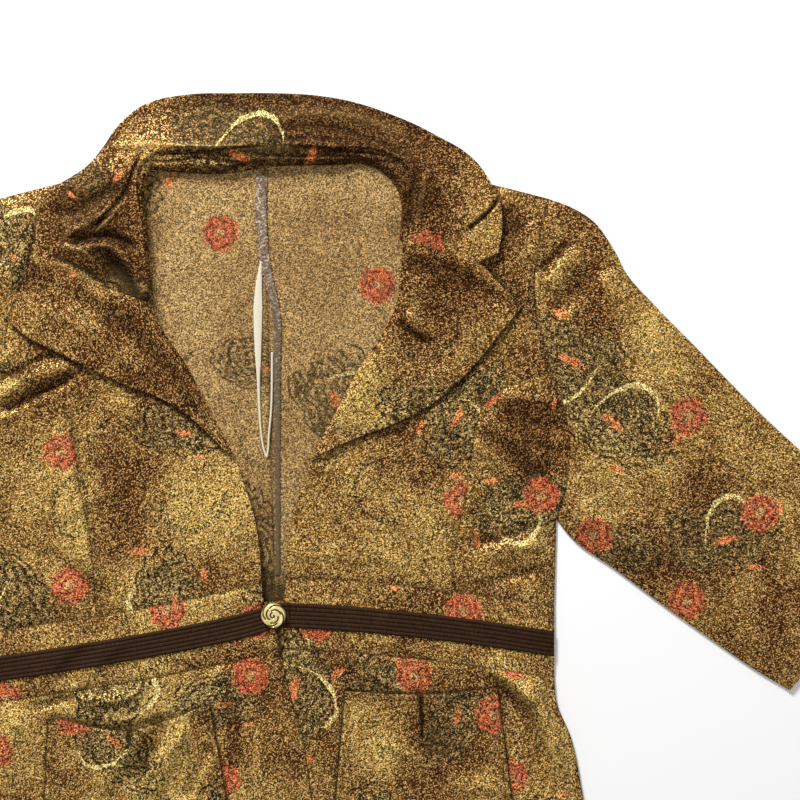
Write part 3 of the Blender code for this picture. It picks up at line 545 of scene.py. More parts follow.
def add_piece(name, verts, faces, uv, fields, material):
    """A smooth mesh with print coordinates and painted fields."""
    mesh = bpy.data.meshes.new(name)
    mesh.from_pydata((verts * MM).tolist(), [], faces)
    corner = np.empty(len(mesh.loops), dtype=np.int32)
    mesh.loops.foreach_get("vertex_index", corner)
    mesh.uv_layers.new(name="cloth").data.foreach_set("uv", uv[corner].astype(np.float32).ravel())
    for key, values in fields.items():
        mesh.attributes.new(key, "FLOAT", "POINT").data.foreach_set("value", values.astype(np.float32))
    mesh.materials.append(material)
    mesh.shade_smooth()
    return add_object(name, mesh)


def shell(name, grid, floor, thick, material, cloth, tone=0.0, seams="", hems="", crease=0.0, rim_dark=0.0):
    """A closed thin piece of cloth: rounded border, seams drawn down, hems slightly raised; painted shade
    along seams, stitch lines and, when asked, the border.
    """
    x, y, runs = grid[..., 0], grid[..., 1], edge_runs(grid)
    top = floor + thick
    crease = np.zeros(grid.shape[:2]) + crease
    wander = 1 + 0.45 * np.sin(x * 0.53 + 2.1 * np.sin(y * 0.31)) * np.sin(y * 0.47)
    for edge in seams.split():
        top = top - SEAM_DEEP * wander * bell(runs[edge], SEAM_REACH)
        crease = np.maximum(crease, SEAM_SHADE * bell(runs[edge], SEAM_LINE))
    for edge in hems.split():
        stitch = runs[edge] - STITCH_AT
        top = top + HEM_HIGH * ease((HEM_WIDE - runs[edge]) / HEM_SLOPE)
        top = top - STITCH_DEEP * bell(stitch, STITCH_REACH)
        crease = np.maximum(crease, STITCH_SHADE * bell(stitch, STITCH_LINE))
    border = np.minimum.reduce(list(runs.values()))
    if rim_dark:
        crease = np.maximum(crease, rim_dark * bell(border, RIM_LINE))
    rounded = top - RIM_DROP * thick * (1 - np.clip(border / RIM_ROUND, 0, 1)) ** 2
    top = np.maximum(rounded, floor + RIM_LEAST * thick)
    verts = np.concatenate([np.dstack([grid, level]).reshape(-1, 3) for level in (top, floor)])
    # This field holds painted shade above zero and painted highlight below zero.
    fields = {"tone": np.broadcast_to(tone, crease.shape), "crease": crease}
    fields = {key: np.tile(field.ravel(), 2) for key, field in fields.items()}
    uv = np.concatenate([cloth.reshape(-1, 2)] * 2)
    piece = add_piece(name, verts, closed_faces(grid).tolist(), uv, fields, material)
    piece.data.set_sharp_from_angle(angle=SHARP_ANGLE)
    return piece


def cloth_space(grid, turn, shift, flip=1):
    """Place on the uncut cloth, in decimetres: the grid turned and moved as its pattern piece lay."""
    c, s = math.cos(math.radians(turn)), math.sin(math.radians(turn))
    x, y = grid[..., 0] * flip / MM_PER_DM, grid[..., 1] / MM_PER_DM
    return np.stack([c * x - s * y + shift[0], s * x + c * y + shift[1]], axis=-1)


def register(piece, node):
    """Ride on the body and stand for the solid."""
    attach(piece, "root")
    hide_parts(node)


def name_of(piece, side):
    return f"{piece}_{'left' if side == LEFT else 'right'}"


PAISLEY = Motif(1.50, 0.75, (3.7, 1.9, 0.0), 0.16)
ARCS = Motif(1.05, 0.7, (9.3, 4.4, 0.0), 0.42)
ROSES = Motif(1.18, 0.62, (1.6, 7.2, 0.0), 0.36)
MOTIF_EDGE, FULL_TURN = 0.04, 6.283
GRAIN_SCALE, GRAIN_TURN, GRAIN_BEND, GRAIN_GAIN = 130.0, 0.6, 2.2, 3.2
DROP_GROUND, DROP_INK, CRESCENT, LEAF = (
    (0.150, 0.105, 0.038), (0.018, 0.011, 0.005), (0.56, 0.44, 0.16), (0.50, 0.13, 0.042))
ARC_INK = (0.022, 0.014, 0.008)
ROSE_DARK, ROSE_CORAL, ROSE_HEART = (0.17, 0.032, 0.014), (0.43, 0.080, 0.036), (0.34, 0.22, 0.08)
# Flash colours: bright yarn grains, the yarn's own gold with painted glints in it.
FLASH_BROWN, FLASH_GOLD, FLASH_TINT = (0.54, 0.30, 0.095), (0.72, 0.545, 0.22), (0.95, 0.66, 0.30)
# Painted highlight on ridges, and painted shade in creases, seams and borders.
PAINTED_HIGHLIGHT_COLOUR, PAINTED_SHADE_COLOUR = (0.30, 0.22, 0.08), (0.012, 0.007, 0.003)
# The groove colour of the ribbon is painted shade between its ribs.
RIBBON_DARK, RIBBON_BROWN, RIBBON_FADED, RIBBON_GROOVE_SHADE, RIBBON_TINT = (
    (0.018, 0.0075, 0.0035), (0.052, 0.024, 0.011), (0.030, 0.015, 0.009), (0.004, 0.002, 0.001),
    (0.9, 0.6, 0.4))
SATIN_SHADE, SATIN_CREAM = (0.58, 0.52, 0.38), (0.78, 0.73, 0.58)
EDGE_DARK, EDGE_LIGHT, EDGE_PLAIN, THREAD = (
    (0.050, 0.028, 0.014), (0.24, 0.15, 0.080), (0.10, 0.062, 0.026), (0.64, 0.53, 0.40))
# The darker gilt colour lies in the grooves between the petals.
GILT_GROOVE_COLOUR, GILT_BRIGHT = (0.07, 0.038, 0.010), (1.0, 0.82, 0.36)
CLOTH_STOPS = ((0.0, (0.030, 0.009, 0.0025)), (0.35, (0.062, 0.021, 0.005)), (0.62, (0.155, 0.073, 0.016)),
               (1.0, (0.305, 0.183, 0.044)))
INSIDE_STOPS = ((0.0, (0.175, 0.102, 0.039)), (0.5, (0.278, 0.168, 0.066)), (1.0, (0.352, 0.228, 0.091)))


class Graph:
    """Small helper that adds shader nodes to one material."""

    def __init__(self, name):
        self.material = bpy.data.materials.new(name)
        self.material.use_nodes = True
        self.tree = self.material.node_tree
        self.shader = self.tree.nodes["Principled BSDF"]

    def set(self, socket, value):
        if hasattr(value, "is_output"):
            self.tree.links.new(value, socket)
        elif isinstance(value, tuple) and len(value) == 3 and len(socket.default_value) == 4:
            socket.default_value = (*value, 1.0)
        else:
            socket.default_value = value

    def node(self, kind, out, inputs, **settings):
        node = self.tree.nodes.new(kind)
        for key, value in settings.items():
            setattr(node, key, value)
        for key, value in inputs.items():
            self.set(node.inputs[key], value)
        return node.outputs[out]

    def surface(self, values):
        for key, value in values.items():
            self.set(self.shader.inputs[key], value)

    def math(self, operation, a, b=0.0):
        return self.node("ShaderNodeMath", 0, {0: a, 1: b}, operation=operation)

    def add(self, *terms):
        total = terms[0]
        for term in terms[1:]:
            total = self.math("ADD", total, term)
        return total

    def sub(self, a, b):
        return self.math("SUBTRACT", a, b)

    def mul(self, a, b):
        return self.math("MULTIPLY", a, b)

    def most(self, a, b):
        return self.math("MAXIMUM", a, b)

    def size(self, a):
        return self.math("ABSOLUTE", a)

    def sine(self, a):
        return self.math("SINE", a)

    def cosine(self, a):
        return self.math("COSINE", a)

    def step(self, value, low, high):
        inputs = {0: value, 1: low, 2: high}
        return self.node("ShaderNodeMapRange", 0, inputs, interpolation_type="SMOOTHSTEP")

    def vector(self, operation, a, b=(0.0, 0.0, 0.0), out="Vector"):
        return self.node("ShaderNodeVectorMath", out, {0: a, 1: b}, operation=operation)

    def scaled(self, vector, factor):
        return self.node("ShaderNodeVectorMath", "Vector", {0: vector, "Scale": factor}, operation="SCALE")

    def stretched(self, vector, x, y, z=1.0):
        return self.vector("MULTIPLY", vector, (x, y, z))

    def turned(self, vector, angle):
        inputs = {"Vector": vector, "Angle": angle}
        return self.node("ShaderNodeVectorRotate", 0, inputs, rotation_type="Z_AXIS")

    def parts(self, vector):
        return self.node("ShaderNodeSeparateXYZ", 0, {0: vector}).node.outputs

    def mix(self, factor, a, b, blend="MIX"):
        return self.node("ShaderNodeMix", 2, {0: factor, 6: a, 7: b}, data_type="RGBA", blend_type=blend)

    def noise(self, coord, scale, detail=2.0, rough=0.5, out="Fac"):
        inputs = {"Vector": coord, "Scale": scale, "Detail": detail, "Roughness": rough}
        return self.node("ShaderNodeTexNoise", out, inputs, noise_dimensions="2D")

    def drift(self, coord, scale, detail, rough):
        """Noise about zero."""
        return self.sub(self.noise(coord, scale, detail, rough), 0.5)

    def ramp(self, value, stops):
        node = self.node("ShaderNodeValToRGB", 0, {0: value}).node
        while len(node.color_ramp.elements) < len(stops):
            node.color_ramp.elements.new(0.5)
        for element, (place, colour) in zip(node.color_ramp.elements, stops):
            element.position = place
            element.color = (*colour, 1.0)
        return node.outputs[0]

    def coord(self):
        return self.node("ShaderNodeUVMap", 0, {}, uv_map="cloth")

    def attribute(self, name):
        return self.node("ShaderNodeAttribute", "Fac", {}, attribute_name=name)

    def bump(self, height, strength, distance):
        inputs = {"Height": height, "Strength": strength, "Distance": distance}
        self.surface({"Normal": self.node("ShaderNodeBump", 0, inputs)})

    def voronoi(self, coord, scale, loose=1.0):
        """Place of the nearest cell, and three unrelated random values of it."""
        inputs = {"Vector": coord, "Scale": scale, "Randomness": loose}
        node = self.node("ShaderNodeTexVoronoi", 0, inputs, voronoi_dimensions="2D").node
        values = self.node("ShaderNodeSeparateColor", 0, {0: node.outputs["Color"]}).node.outputs
        return node.outputs["Position"], values

    def cells(self, coord, motif):
        """Scattered motifs: turned coordinates about each, whether it is printed, and a random value."""
        moved = self.vector("ADD", self.scaled(coord, 1.0 / motif.cell), motif.shift)
        place, values = self.voronoi(moved, 1.0, motif.loose)
        local = self.scaled(self.vector("SUBTRACT", moved, place), motif.cell)
        shown = self.step(values[1], motif.least, motif.least + MOTIF_EDGE)
        return self.turned(local, self.mul(values[0], FULL_TURN)), shown, values[2]

    def polar(self, local, centre=(0.0, 0.0, 0.0)):
        moved = self.vector("SUBTRACT", local, centre)
        part = self.parts(moved)
        return self.vector("LENGTH", moved, out="Value"), self.math("ARCTAN2", part[1], part[0])

    def oval(self, local, centre, half):
        away = self.vector("DIVIDE", self.vector("SUBTRACT", local, centre), half)
        return self.step(self.vector("LENGTH", away, out="Value"), 1.25, 0.75)


def paisley(g, coord, ragged, base, strength):
    """Drop shapes filled with scalloped rows, with a pale hooked crescent and coral leaves."""
    local, shown, size = g.cells(coord, PAISLEY)
    local = g.scaled(local, g.add(1.30, g.mul(size, -0.55)))
    shown = g.mul(shown, strength)
    radius, angle = g.polar(g.stretched(local, 0.70, 1.35), (0.06, 0.0, 0.0))
    depth = g.sub(g.add(g.mul(g.cosine(angle), 0.10), 0.33), radius)
    body = g.mul(g.step(g.add(depth, g.mul(ragged, 0.25)), -0.04, 0.0), shown)
    colour = g.mix(g.mul(body, 0.45), base, DROP_GROUND)
    scallop = g.mul(g.size(g.sine(g.mul(angle, 7.0))), 0.045)
    rows = g.step(g.sine(g.mul(g.add(depth, scallop), 78.0)), -0.15, 0.35)
    swirl = g.step(g.size(g.drift(coord, 4.2, 1.0, 0.4)), 0.030, 0.012)
    dark = g.mul(g.most(g.mul(rows, 0.88), swirl), body)
    loops = g.step(g.size(g.add(depth, scallop, 0.035)), 0.016, 0.006)
    dark = g.most(dark, g.mul(loops, shown))
    colour = g.mix(dark, colour, DROP_INK)

    radius, angle = g.polar(g.stretched(local, 1.0, 0.66), (0.05, 0.02, 0.0))
    width = g.mul(g.most(g.cosine(g.add(angle, 1.1)), 0.0), 0.020)
    away = g.size(g.sub(radius, g.add(0.27, g.mul(angle, 0.02))))
    crescent = g.mul(g.step(g.sub(width, away), 0.0, 0.008), g.step(size, 0.15, 0.19))
    colour = g.mix(g.mul(crescent, g.mul(shown, 0.9)), colour, CRESCENT)

    leaves = g.oval(local, (0.14, 0.04, 0.0), (0.10, 0.032, 1.0))
    leaves = g.most(leaves, g.oval(local, (-0.34, -0.20, 0.0), (0.030, 0.075, 1.0)))
    leaves = g.most(leaves, g.oval(local, (-0.10, 0.30, 0.0), (0.065, 0.026, 1.0)))
    return g.mix(g.mul(leaves, g.mul(shown, 0.9)), colour, LEAF), dark


def dotted_arcs(g, coord, base, strength):
    local, shown, _ = g.cells(coord, ARCS)
    radius, angle = g.polar(local)
    ring = g.step(g.size(g.sub(radius, g.add(0.24, g.mul(angle, 0.03)))), 0.030, 0.012)
    dots = g.mul(ring, g.step(g.sine(g.mul(angle, 40.0)), -0.6, 0.2))
    dots = g.mul(g.mul(dots, g.step(g.parts(local)[1], -0.12, 0.0)), shown)
    return g.mix(g.mul(dots, strength), base, ARC_INK)


def roses(g, coord, ragged, base, strength):
    """Round coral flowers with rippled petals and a gold heart."""
    local, shown, _ = g.cells(coord, ROSES)
    radius, angle = g.polar(local)
    edge = g.add(g.mul(g.cosine(g.mul(angle, 8.0)), 0.007), g.mul(ragged, 0.05), 0.168)
    rose = g.mul(g.step(g.sub(edge, radius), -0.008, 0.018), shown)
    ripple = g.add(g.mul(radius, 85.0), g.mul(g.cosine(g.mul(angle, 5.0)), 1.3))
    petal = g.step(g.add(g.sine(ripple), g.mul(ragged, 3.0)), -1.0, 0.1)
    coral = g.mix(petal, ROSE_DARK, ROSE_CORAL)
    coral = g.mix(g.mul(g.step(radius, 0.055, 0.03), 0.7), coral, ROSE_HEART)
    return g.mix(g.mul(rose, strength), base, coral), rose


def printed(g, coord, gold, stops, strength):
    """Dyed ground and print, drawn with an unsteady hand: the colour, and where ink covers the ground."""
    wobble = g.vector("SUBTRACT", g.noise(coord, 9.0, 2.0, 0.6, out="Color"), (0.5, 0.5, 0.5))
    hand = g.vector("ADD", coord, g.stretched(wobble, 0.05, 0.05, 0.0))
    ragged = g.drift(coord, 7.0, 3.0, 0.65)
    colour, ink = paisley(g, hand, ragged, g.ramp(gold, stops), strength)
    colour = dotted_arcs(g, hand, colour, 0.9 * strength)
    colour, rose = roses(g, hand, ragged, colour, 0.7 + 0.22 * strength)
    return colour, g.most(ink, rose)


def knit_material(name, stops, strength, grain, glint):
    """Printed glitter knit: dyed ground, print, then grains of dark and of bright metal yarn; the bright
    grains are partly painted glints, and painted highlight and painted shade come from a painted field.
    """
    g = Graph(name)
    coord = g.coord()
    broad, middle = g.drift(coord, 0.75, 2.0, 0.5), g.drift(coord, 3.2, 3.0, 0.6)
    # The tone field adds the dye's run and painted light and shade of the relief.
    gold = g.add(0.55, g.mul(broad, 1.2), g.mul(middle, 0.8), g.attribute("tone"))
    colour, ink = printed(g, coord, gold, stops, strength)
    grains = g.voronoi(g.stretched(g.turned(coord, GRAIN_TURN), 1.0, 0.85), GRAIN_SCALE)[1]
    lift = g.add(1.0 - grain, g.mul(g.math("POWER", grains[0], GRAIN_BEND), GRAIN_GAIN * grain))
    grey = g.node("ShaderNodeCombineColor", 0, {0: lift, 1: lift, 2: lift})
    colour = g.mix(1.0, colour, grey, blend="MULTIPLY")
    # Bright grains of metal yarn: their own gold, partly painted glints.
    clump = g.mul(g.drift(coord, 22.0, 2.0, 0.6), 0.35)
    strong = g.mul(g.add(0.5, g.mul(g.step(gold, -0.2, 0.4), 0.6)), glint)
    spark = g.mul(g.step(g.add(grains[1], clump), 0.68, 0.95), strong)
    spark = g.mul(spark, g.add(1.0, g.mul(ink, -0.5)))
    flash = g.mix(g.step(gold, 0.0, 0.9), FLASH_BROWN, FLASH_GOLD)
    colour = g.mix(spark, colour, g.mix(1.0, colour, flash, blend="ADD"))
    # Painted highlight where the field is below zero, painted shade where it is above.
    crease = g.attribute("crease")
    colour = g.mix(g.most(g.mul(crease, -1.0), 0.0), colour, PAINTED_HIGHLIGHT_COLOUR, blend="ADD")
    colour = g.mix(g.mul(g.most(crease, 0.0), 0.88), colour, PAINTED_SHADE_COLOUR)
    g.surface({"Base Color": colour, "Roughness": g.add(0.58, g.mul(spark, -0.16)),
               "Metallic": g.mul(spark, 0.22), "Specular IOR Level": 0.13, "Specular Tint": FLASH_TINT})
    g.bump(g.add(grains[2], g.mul(spark, 0.5)), 0.18, 0.0006)
    return g.material


def ribbon_material():
    """Dark ribbed ribbon: fine cross yarns and a satin sheen."""
    g = Graph("ribbon_brown")
    coord = g.coord()
    yarn = g.noise(g.stretched(coord, 120.0, 14.0), 1.0, 2.0, 0.6)
    colour = g.mix(g.step(yarn, 0.3, 0.7), RIBBON_DARK, RIBBON_BROWN)
    colour = g.mix(g.mul(g.noise(coord, 5.0, 3.0, 0.6), 0.5), colour, RIBBON_FADED)
    # Painted shade in the grooves between the ribs.
    colour = g.mix(g.attribute("crease"), colour, RIBBON_GROOVE_SHADE)
    g.surface({"Base Color": colour, "Roughness": g.add(0.48, g.mul(yarn, 0.2)), "Specular IOR Level": 0.12,
               "Specular Tint": RIBBON_TINT})
    g.bump(yarn, 0.4, 0.0004)
    return g.material


def satin_material():
    g = Graph("satin_cream")
    yarn = g.noise(g.stretched(g.coord(), 30.0, 160.0), 1.0, 2.0, 0.5)
    colour = g.mix(yarn, SATIN_SHADE, SATIN_CREAM)
    g.surface({"Base Color": colour, "Roughness": g.add(0.28, g.mul(yarn, 0.15))})
    g.bump(yarn, 0.2, 0.0003)
    return g.material


def overlock_material():
    """Seam allowance under grey overlock thread."""
    g = Graph("overlock_grey")
    coord = g.coord()
    part = g.parts(coord)
    grains = g.voronoi(coord, 85.0)[1]
    slant = g.add(g.mul(part[1], 190.0), g.mul(part[0], 70.0))
    thread = g.step(g.add(g.mul(g.sine(slant), 0.15), grains[0]), 0.35, 0.95)
    blotch = g.step(g.noise(coord, 20.0, 3.0, 0.7), 0.42, 0.60)
    shown = g.attribute("tone")
    ground = g.mix(shown, EDGE_PLAIN, g.mix(grains[1], EDGE_DARK, EDGE_LIGHT))
    colour = g.mix(g.mul(shown, g.mul(thread, g.add(0.15, g.mul(blotch, 0.85)))), ground, THREAD)
    g.surface({"Base Color": colour, "Roughness": g.add(0.7, g.mul(g.noise(coord, 12.0, 2.0, 0.6), 0.1))})
    g.bump(thread, 0.5, 0.0005)
    return g.material


def gilt_material():
    g = Graph("gilt_pale")
    grime = g.noise(g.coord(), 40.0, 3.0, 0.6)
    # Darker in the grooves between the petals.
    g.surface({"Base Color": g.mix(g.attribute("tone"), GILT_GROOVE_COLOUR, GILT_BRIGHT),
               "Roughness": g.add(0.20, g.mul(grime, 0.22)), "Metallic": 0.55})
    g.bump(grime, 0.08, 0.0003)
    return g.material


KNIT = knit_material("knit_print", CLOTH_STOPS, strength=1.0, grain=0.90, glint=1.0)
INSIDE = knit_material("knit_inside", INSIDE_STOPS, strength=0.75, grain=0.74, glint=0.34)
RIBBON = ribbon_material()
SATIN = satin_material()
OVERLOCK = overlock_material()
GILT = gilt_material()


def lay_under(part, grid, print_turn=0, print_shift=(0, 0), cut_turn=0.0, **looks):
    """A piece that lies flat on the floor, its inside up."""
    piece = shell("cloth_" + part, grid, np.zeros(grid.shape[:2]), BACK, INSIDE,
                  cloth_space(grid, print_turn, print_shift), **looks)
    register(piece, part)


def lay_upper(part, side, grid, rests, print_turn, print_shift, tone=0.0, shade=0.0, cut_turn=0.0, **edges):
    """A panel of the front or a top sleeve, on the loft, with painted shade along its creases and any shade
    given.
    """
    part = name_of(part, side)
    piece = shell("cloth_" + part, grid, upper_floor(grid, side), CLOTH, KNIT,
                  cloth_space(grid, print_turn, print_shift), dye_tone_and_shading(grid, "front") + tone,
                  crease=np.maximum(crease_fields(grid, "front")[1], shade), **edges)
    register(piece, part)


def make_back(side):
    """Upper back, from the middle seam to the armhole; painted shade darkens it towards the waist, in the
    narrow opening.
    """
    start = Point(CENTRE_BACK_FOOT * side, BACK_BAND_TOP)
    under = spline([Point(CHEST_HALF, BACK_BAND_TOP), UNDERARM[-1]], BACK_SIDE_ROWS)
    outer = join(under, spline(UNDERARM[::-1] + ARMHOLE[-2::-1], BACK_ARM_ROWS))
    neck_y = NECK_Y + NECK_RISE
    neck = points((CENTRE_BACK_TOP * side, neck_y), (NECK_CORNER, neck_y), SHOULDER[0])
    top = join(spline(neck, BACK_COLUMNS // 2), spline(SHOULDER, BACK_COLUMNS // 2))
    middle = spline([start, top[0]], BACK_SIDE_ROWS + BACK_ARM_ROWS)
    grid = mirror(coons(spline([start, under[0]], BACK_COLUMNS), top, middle, outer), side)
    shade = BACK_SHADE * ease((BACK_SHADE_Y - grid[..., 1]) / BACK_SHADE_RUN) ** 1.5
    lay_under(name_of("back", side), grid, print_shift=(2.0 * side, 3.15 - 0.42 * side),
              tone=tone_at(grid, "back"), seams="u0 u1 v0", crease=shade)


def make_back_band():
    corners = [(x, y) for y in (BACK_BAND_FOOT, BACK_BAND_TOP) for x in (-CHEST_HALF, CHEST_HALF)]
    grid = coons(spline(corners[:2], UNDER_COLUMNS), spline(corners[2:], UNDER_COLUMNS),
                 spline(corners[::2], BAND_ROWS), spline(corners[1::2], BAND_ROWS))
    # The whole band is painted with shade, at the foot of the narrow opening.
    lay_under("back_band", grid, seams="v0 v1", crease=BACK_SHADE)


def make_back_skirt():
    edges = [mirror(skirt_side(side, BACK_SKIRT_ROWS), side) for side in (RIGHT, LEFT)]
    for edge in edges:
        edge[-1] = (np.sign(edge[-1, 0]) * CHEST_HALF, BACK_BAND_FOOT)
    hem = spline([edges[0][0], (0, HEM_Y), edges[1][0]], UNDER_COLUMNS)
    top = spline([edges[0][-1], edges[1][-1]], UNDER_COLUMNS)
    lay_under("back_skirt", coons(hem, top, *edges), seams="v1")


def strip_grid(rows, count, across):
    """Grid of a narrow strip, its lift, cloth coordinates, places across and running length."""
    line = spline([(row.x, row.y) for row in rows], count)
    run = np.linspace(0, len(rows) - 1, count + 1)
    wide = np.interp(run, range(len(rows)), [row.wide for row in rows])
    lift = np.interp(run, range(len(rows)), [row.lift for row in rows])
    ahead = np.gradient(line, axis=0)
    ahead /= np.linalg.norm(ahead, axis=1)[:, None]
    aside = np.stack([-ahead[:, 1], ahead[:, 0]], axis=1)
    place = np.linspace(-0.5, 0.5, across + 1)
    off = wide[:, None] * place[None]
    grid = line[:, None] + aside[:, None] * off[..., None]
    length = run_along(line)
    along = np.stack(np.broadcast_arrays(off, length[:, None]), axis=-1) / MM_PER_DM
    return grid, np.broadcast_to(lift[:, None], grid.shape[:2]), along, place, length


def make_allowance():
    """Overlocked edge of the middle seam, frayed along both sides; the thread fades out downward."""
    grid, lift, along, place, length = strip_grid(ALLOWANCE, *ALLOWANCE_CELLS)
    crown = 0.15 * np.cos(np.pi * place)[None] + 0.35 * np.sin(length * 0.55)[:, None] * place[None]
    frayed = 0.5 * np.sin(length * 1.9) + 0.4 * np.sin(length * 0.83 + 1.0)
    grid[:, [0, -1], 0] += np.stack([frayed, 0.6 * np.roll(frayed, 7)], axis=1)
    shown = np.interp(length, (0, 70, 130, 200, 360), (1.0, 0.9, 0.5, 0.25, 0.05))[:, None]
    piece = shell("overlocked_allowance", grid, BACK + SEAM + lift, TRIM + crown, OVERLOCK, along, shown)
    register(piece, "middle_allowance")


def make_loop():
    grid, lift, along, place, _ = strip_grid(LOOP, *LOOP_CELLS)
    thick = TRIM + 0.3 * np.cos(np.pi * place)[None]
    register(shell("hanger_ribbon", grid, BACK + SEAM + lift, thick, SATIN, along), "hanger_loop")


def laid_edge(side):
    """Free edge of a lapel and of the collar's end, as they lie on the front."""
    row = LAPEL[side]
    collar = COLLAR_EDGE[:7] if side == RIGHT else COLLAR_EDGE[:-8:-1]
    lapel = join(spline(row.lower, 30), spline([row.tip, row.notch], 4))
    return np.concatenate([mirror(lapel, side), np.array(collar, float)])


def waist_columns(start):
    """Places across a front at the waist: from the open edge to the princess seam, then to the side."""
    inner = np.linspace(start, PRINCESS[0].x, FRONT_COLUMNS + 1)
    return inner, np.linspace(PRINCESS[0].x, CHEST_HALF, SIDE_COLUMNS + 1)


def front_seams(side):
    """Waist seams of the front and the side front, and the two seams that they share."""
    lines = waist_columns(BAND_END[side].top)
    front_foot, side_foot = (seam_at(line, side, BAND_ABOVE) for line in lines)
    princess = spline([front_foot[-1]] + PRINCESS[1:], PRINCESS_ROWS)
    return front_foot, side_foot, princess, spline(YOKE, YOKE_ROWS)


def make_front(side):
    """Front panel, with painted shadow along the edges of the lapel and the collar that lie on it."""
    foot, _, princess, yoke = front_seams(side)
    outer = join(princess, yoke, spline(ARMHOLE[::-1], ARM_ROWS))
    edge = spline([foot[0]] + FRONT_EDGE[1:], PRINCESS_ROWS + YOKE_ROWS + ARM_ROWS)
    grid = denser(mirror(coons(foot, spline(SHOULDER, FRONT_COLUMNS), edge, outer), side))
    shade = LAID_SHADOW * bell(line_distance(grid, laid_edge(side)), LAID_REACH)
    lay_upper("front", side, grid, name_of("cloth_back", side), 3 * side, (1.3 * side, 5.1 + side),
              shade=shade, seams="u1 v0 v1")


def make_side_front(side):
    _, foot, princess, yoke = front_seams(side)
    outer = join(spline([foot[-1], UNDERARM[-1]], SIDE_ROWS), spline(UNDERARM[::-1], UNDERARM_ROWS))
    grid = denser(mirror(coons(foot, yoke, princess, outer), side))
    lay_upper("side_front", side, grid, name_of("cloth_back", side), -14 * side, (4.4 * side, 8.7 - side),
              tone=tone_at(grid, "side"), seams="u0 u1 v0 v1")


def band_keys(side):
    """Lines along the waist band: its foot, both edges of the ribbon, the open edge's foot and its top."""
    ends, half = BAND_END[side], RIBBON_WIDE / 2
    foot, outer = waist_columns(ends.foot)
    ribbon = join(np.linspace(ends.ribbon, RIBBON_START, FINE + 1),
                  np.linspace(RIBBON_START, PRINCESS[0].x, FRONT_COLUMNS - FINE + 1))
    lines = ((-BAND_BELOW, foot), (-half, ribbon), (half, ribbon),
             (half + 1.2, waist_columns(OPEN_FOOT)[0]), (BAND_ABOVE, waist_columns(ends.top)[0]))
    keys = [seam_at(join(inner, outer), side, shift) for shift, inner in lines]
    return mirror(np.stack(keys, axis=1), side)


def make_band(side):
    keys = band_keys(side)
    rows = np.concatenate([np.linspace(0, 1, 14), np.linspace(1, 2, 7)[1:], [2.5], np.linspace(3, 4, 10)])
    columns = np.concatenate([np.linspace(0, FINE, 3 * FINE + 1), np.arange(FINE + 1.0, keys.shape[0])])
    lay_upper("band", side, resample(keys, columns, rows), "cloth_back_band", 92, (6.0 + side, 2.2 * side),
              seams="v0 v1")


def make_ribbon(side):
    """Ribbed ribbon on the waist band; the right one runs on under the button."""
    keys = band_keys(side)[FINE if side == LEFT else 0:]
    place = np.linspace(0, 1, 8 * RIBS + 1)
    grid = resample(keys, np.arange(keys.shape[0], dtype=float), 1 + place)
    swell = np.abs(np.sin(np.pi * place * RIBS))
    length = run_along(grid[:, 0])
    along = np.stack(np.broadcast_arrays(length[:, None], (place * RIBBON_WIDE)[None]), axis=-1) / MM_PER_DM
    # The grooves between the ribs get painted shade.
    ridge, groove = RIB_HIGH * swell ** 0.6, RIB_SHADE * (1 - swell) ** 2
    piece = shell(name_of("ribbed_ribbon", side), grid, upper_floor(grid, side) + CLOTH + LAY,
                  TRIM + ridge[None], RIBBON, along, crease=groove[None])
    register(piece, name_of("ribbon", side))


def skirt_grid(side):
    """Grid of a skirt panel whose lines follow the pocket, the front edge and the side."""
    columns = FRONT_COLUMNS + SIDE_COLUMNS
    edge, flank = np.array(SKIRT_EDGE[side], float)[::-1], skirt_side(side, 40)
    keys = (0, POCKET_IN, POCKET_OUT, columns)
    lines = []
    for row in SKIRT[side]:
        xs = (np.interp(row.y_front, edge[:, 1], edge[:, 0]), row.x_in, row.x_out,
              np.interp(row.y_side, flank[:, 1], flank[:, 0]))
        ys = (row.y_front, row.y_pocket_in, row.y_pocket_out, row.y_side)
        lines.append(np.stack([np.interp(range(columns + 1), keys, values) for values in (xs, ys)], axis=1))
    lines.append(seam_at(join(*waist_columns(BAND_END[side].foot)), side, -BAND_BELOW))
    grid = [lines[0]]
    for row, low, high in zip(SKIRT[side], lines[:-1], lines[1:]):
        steps = row.rows * FINE
        grid += [low + (high - low) * k / steps for k in range(1, steps + 1)]
    grid = np.stack(grid, axis=1)
    for end, line in ((0, edge), (columns, flank)):
        grid[end, :, 0] = np.interp(grid[end, :, 1], line[:, 1], line[:, 0])
    return mirror(grid, side)


def pocket_grid(side):
    """Grid of a pocket with its sagging mouth, and the shares across and upward of its points."""
    first, tall = SKIRT[side][0].rows * FINE, SKIRT[side][1].rows * FINE
    wide = POCKET_OUT - POCKET_IN
    patch = skirt_grid(side)[POCKET_IN:POCKET_OUT + 1, first:first + tall + 1]
    us, vs = refined(wide, [wide / 2]), refined(tall)
    patch = resample(patch, us, vs)
    across, upward = (us / us[-1])[:, None], (vs / vs[-1])[None, :]
    patch[..., 1] -= POCKET[side].sag * np.sin(np.pi * across) ** 1.3 * ease((upward - 0.72) / 0.28)
    return patch, across, upward


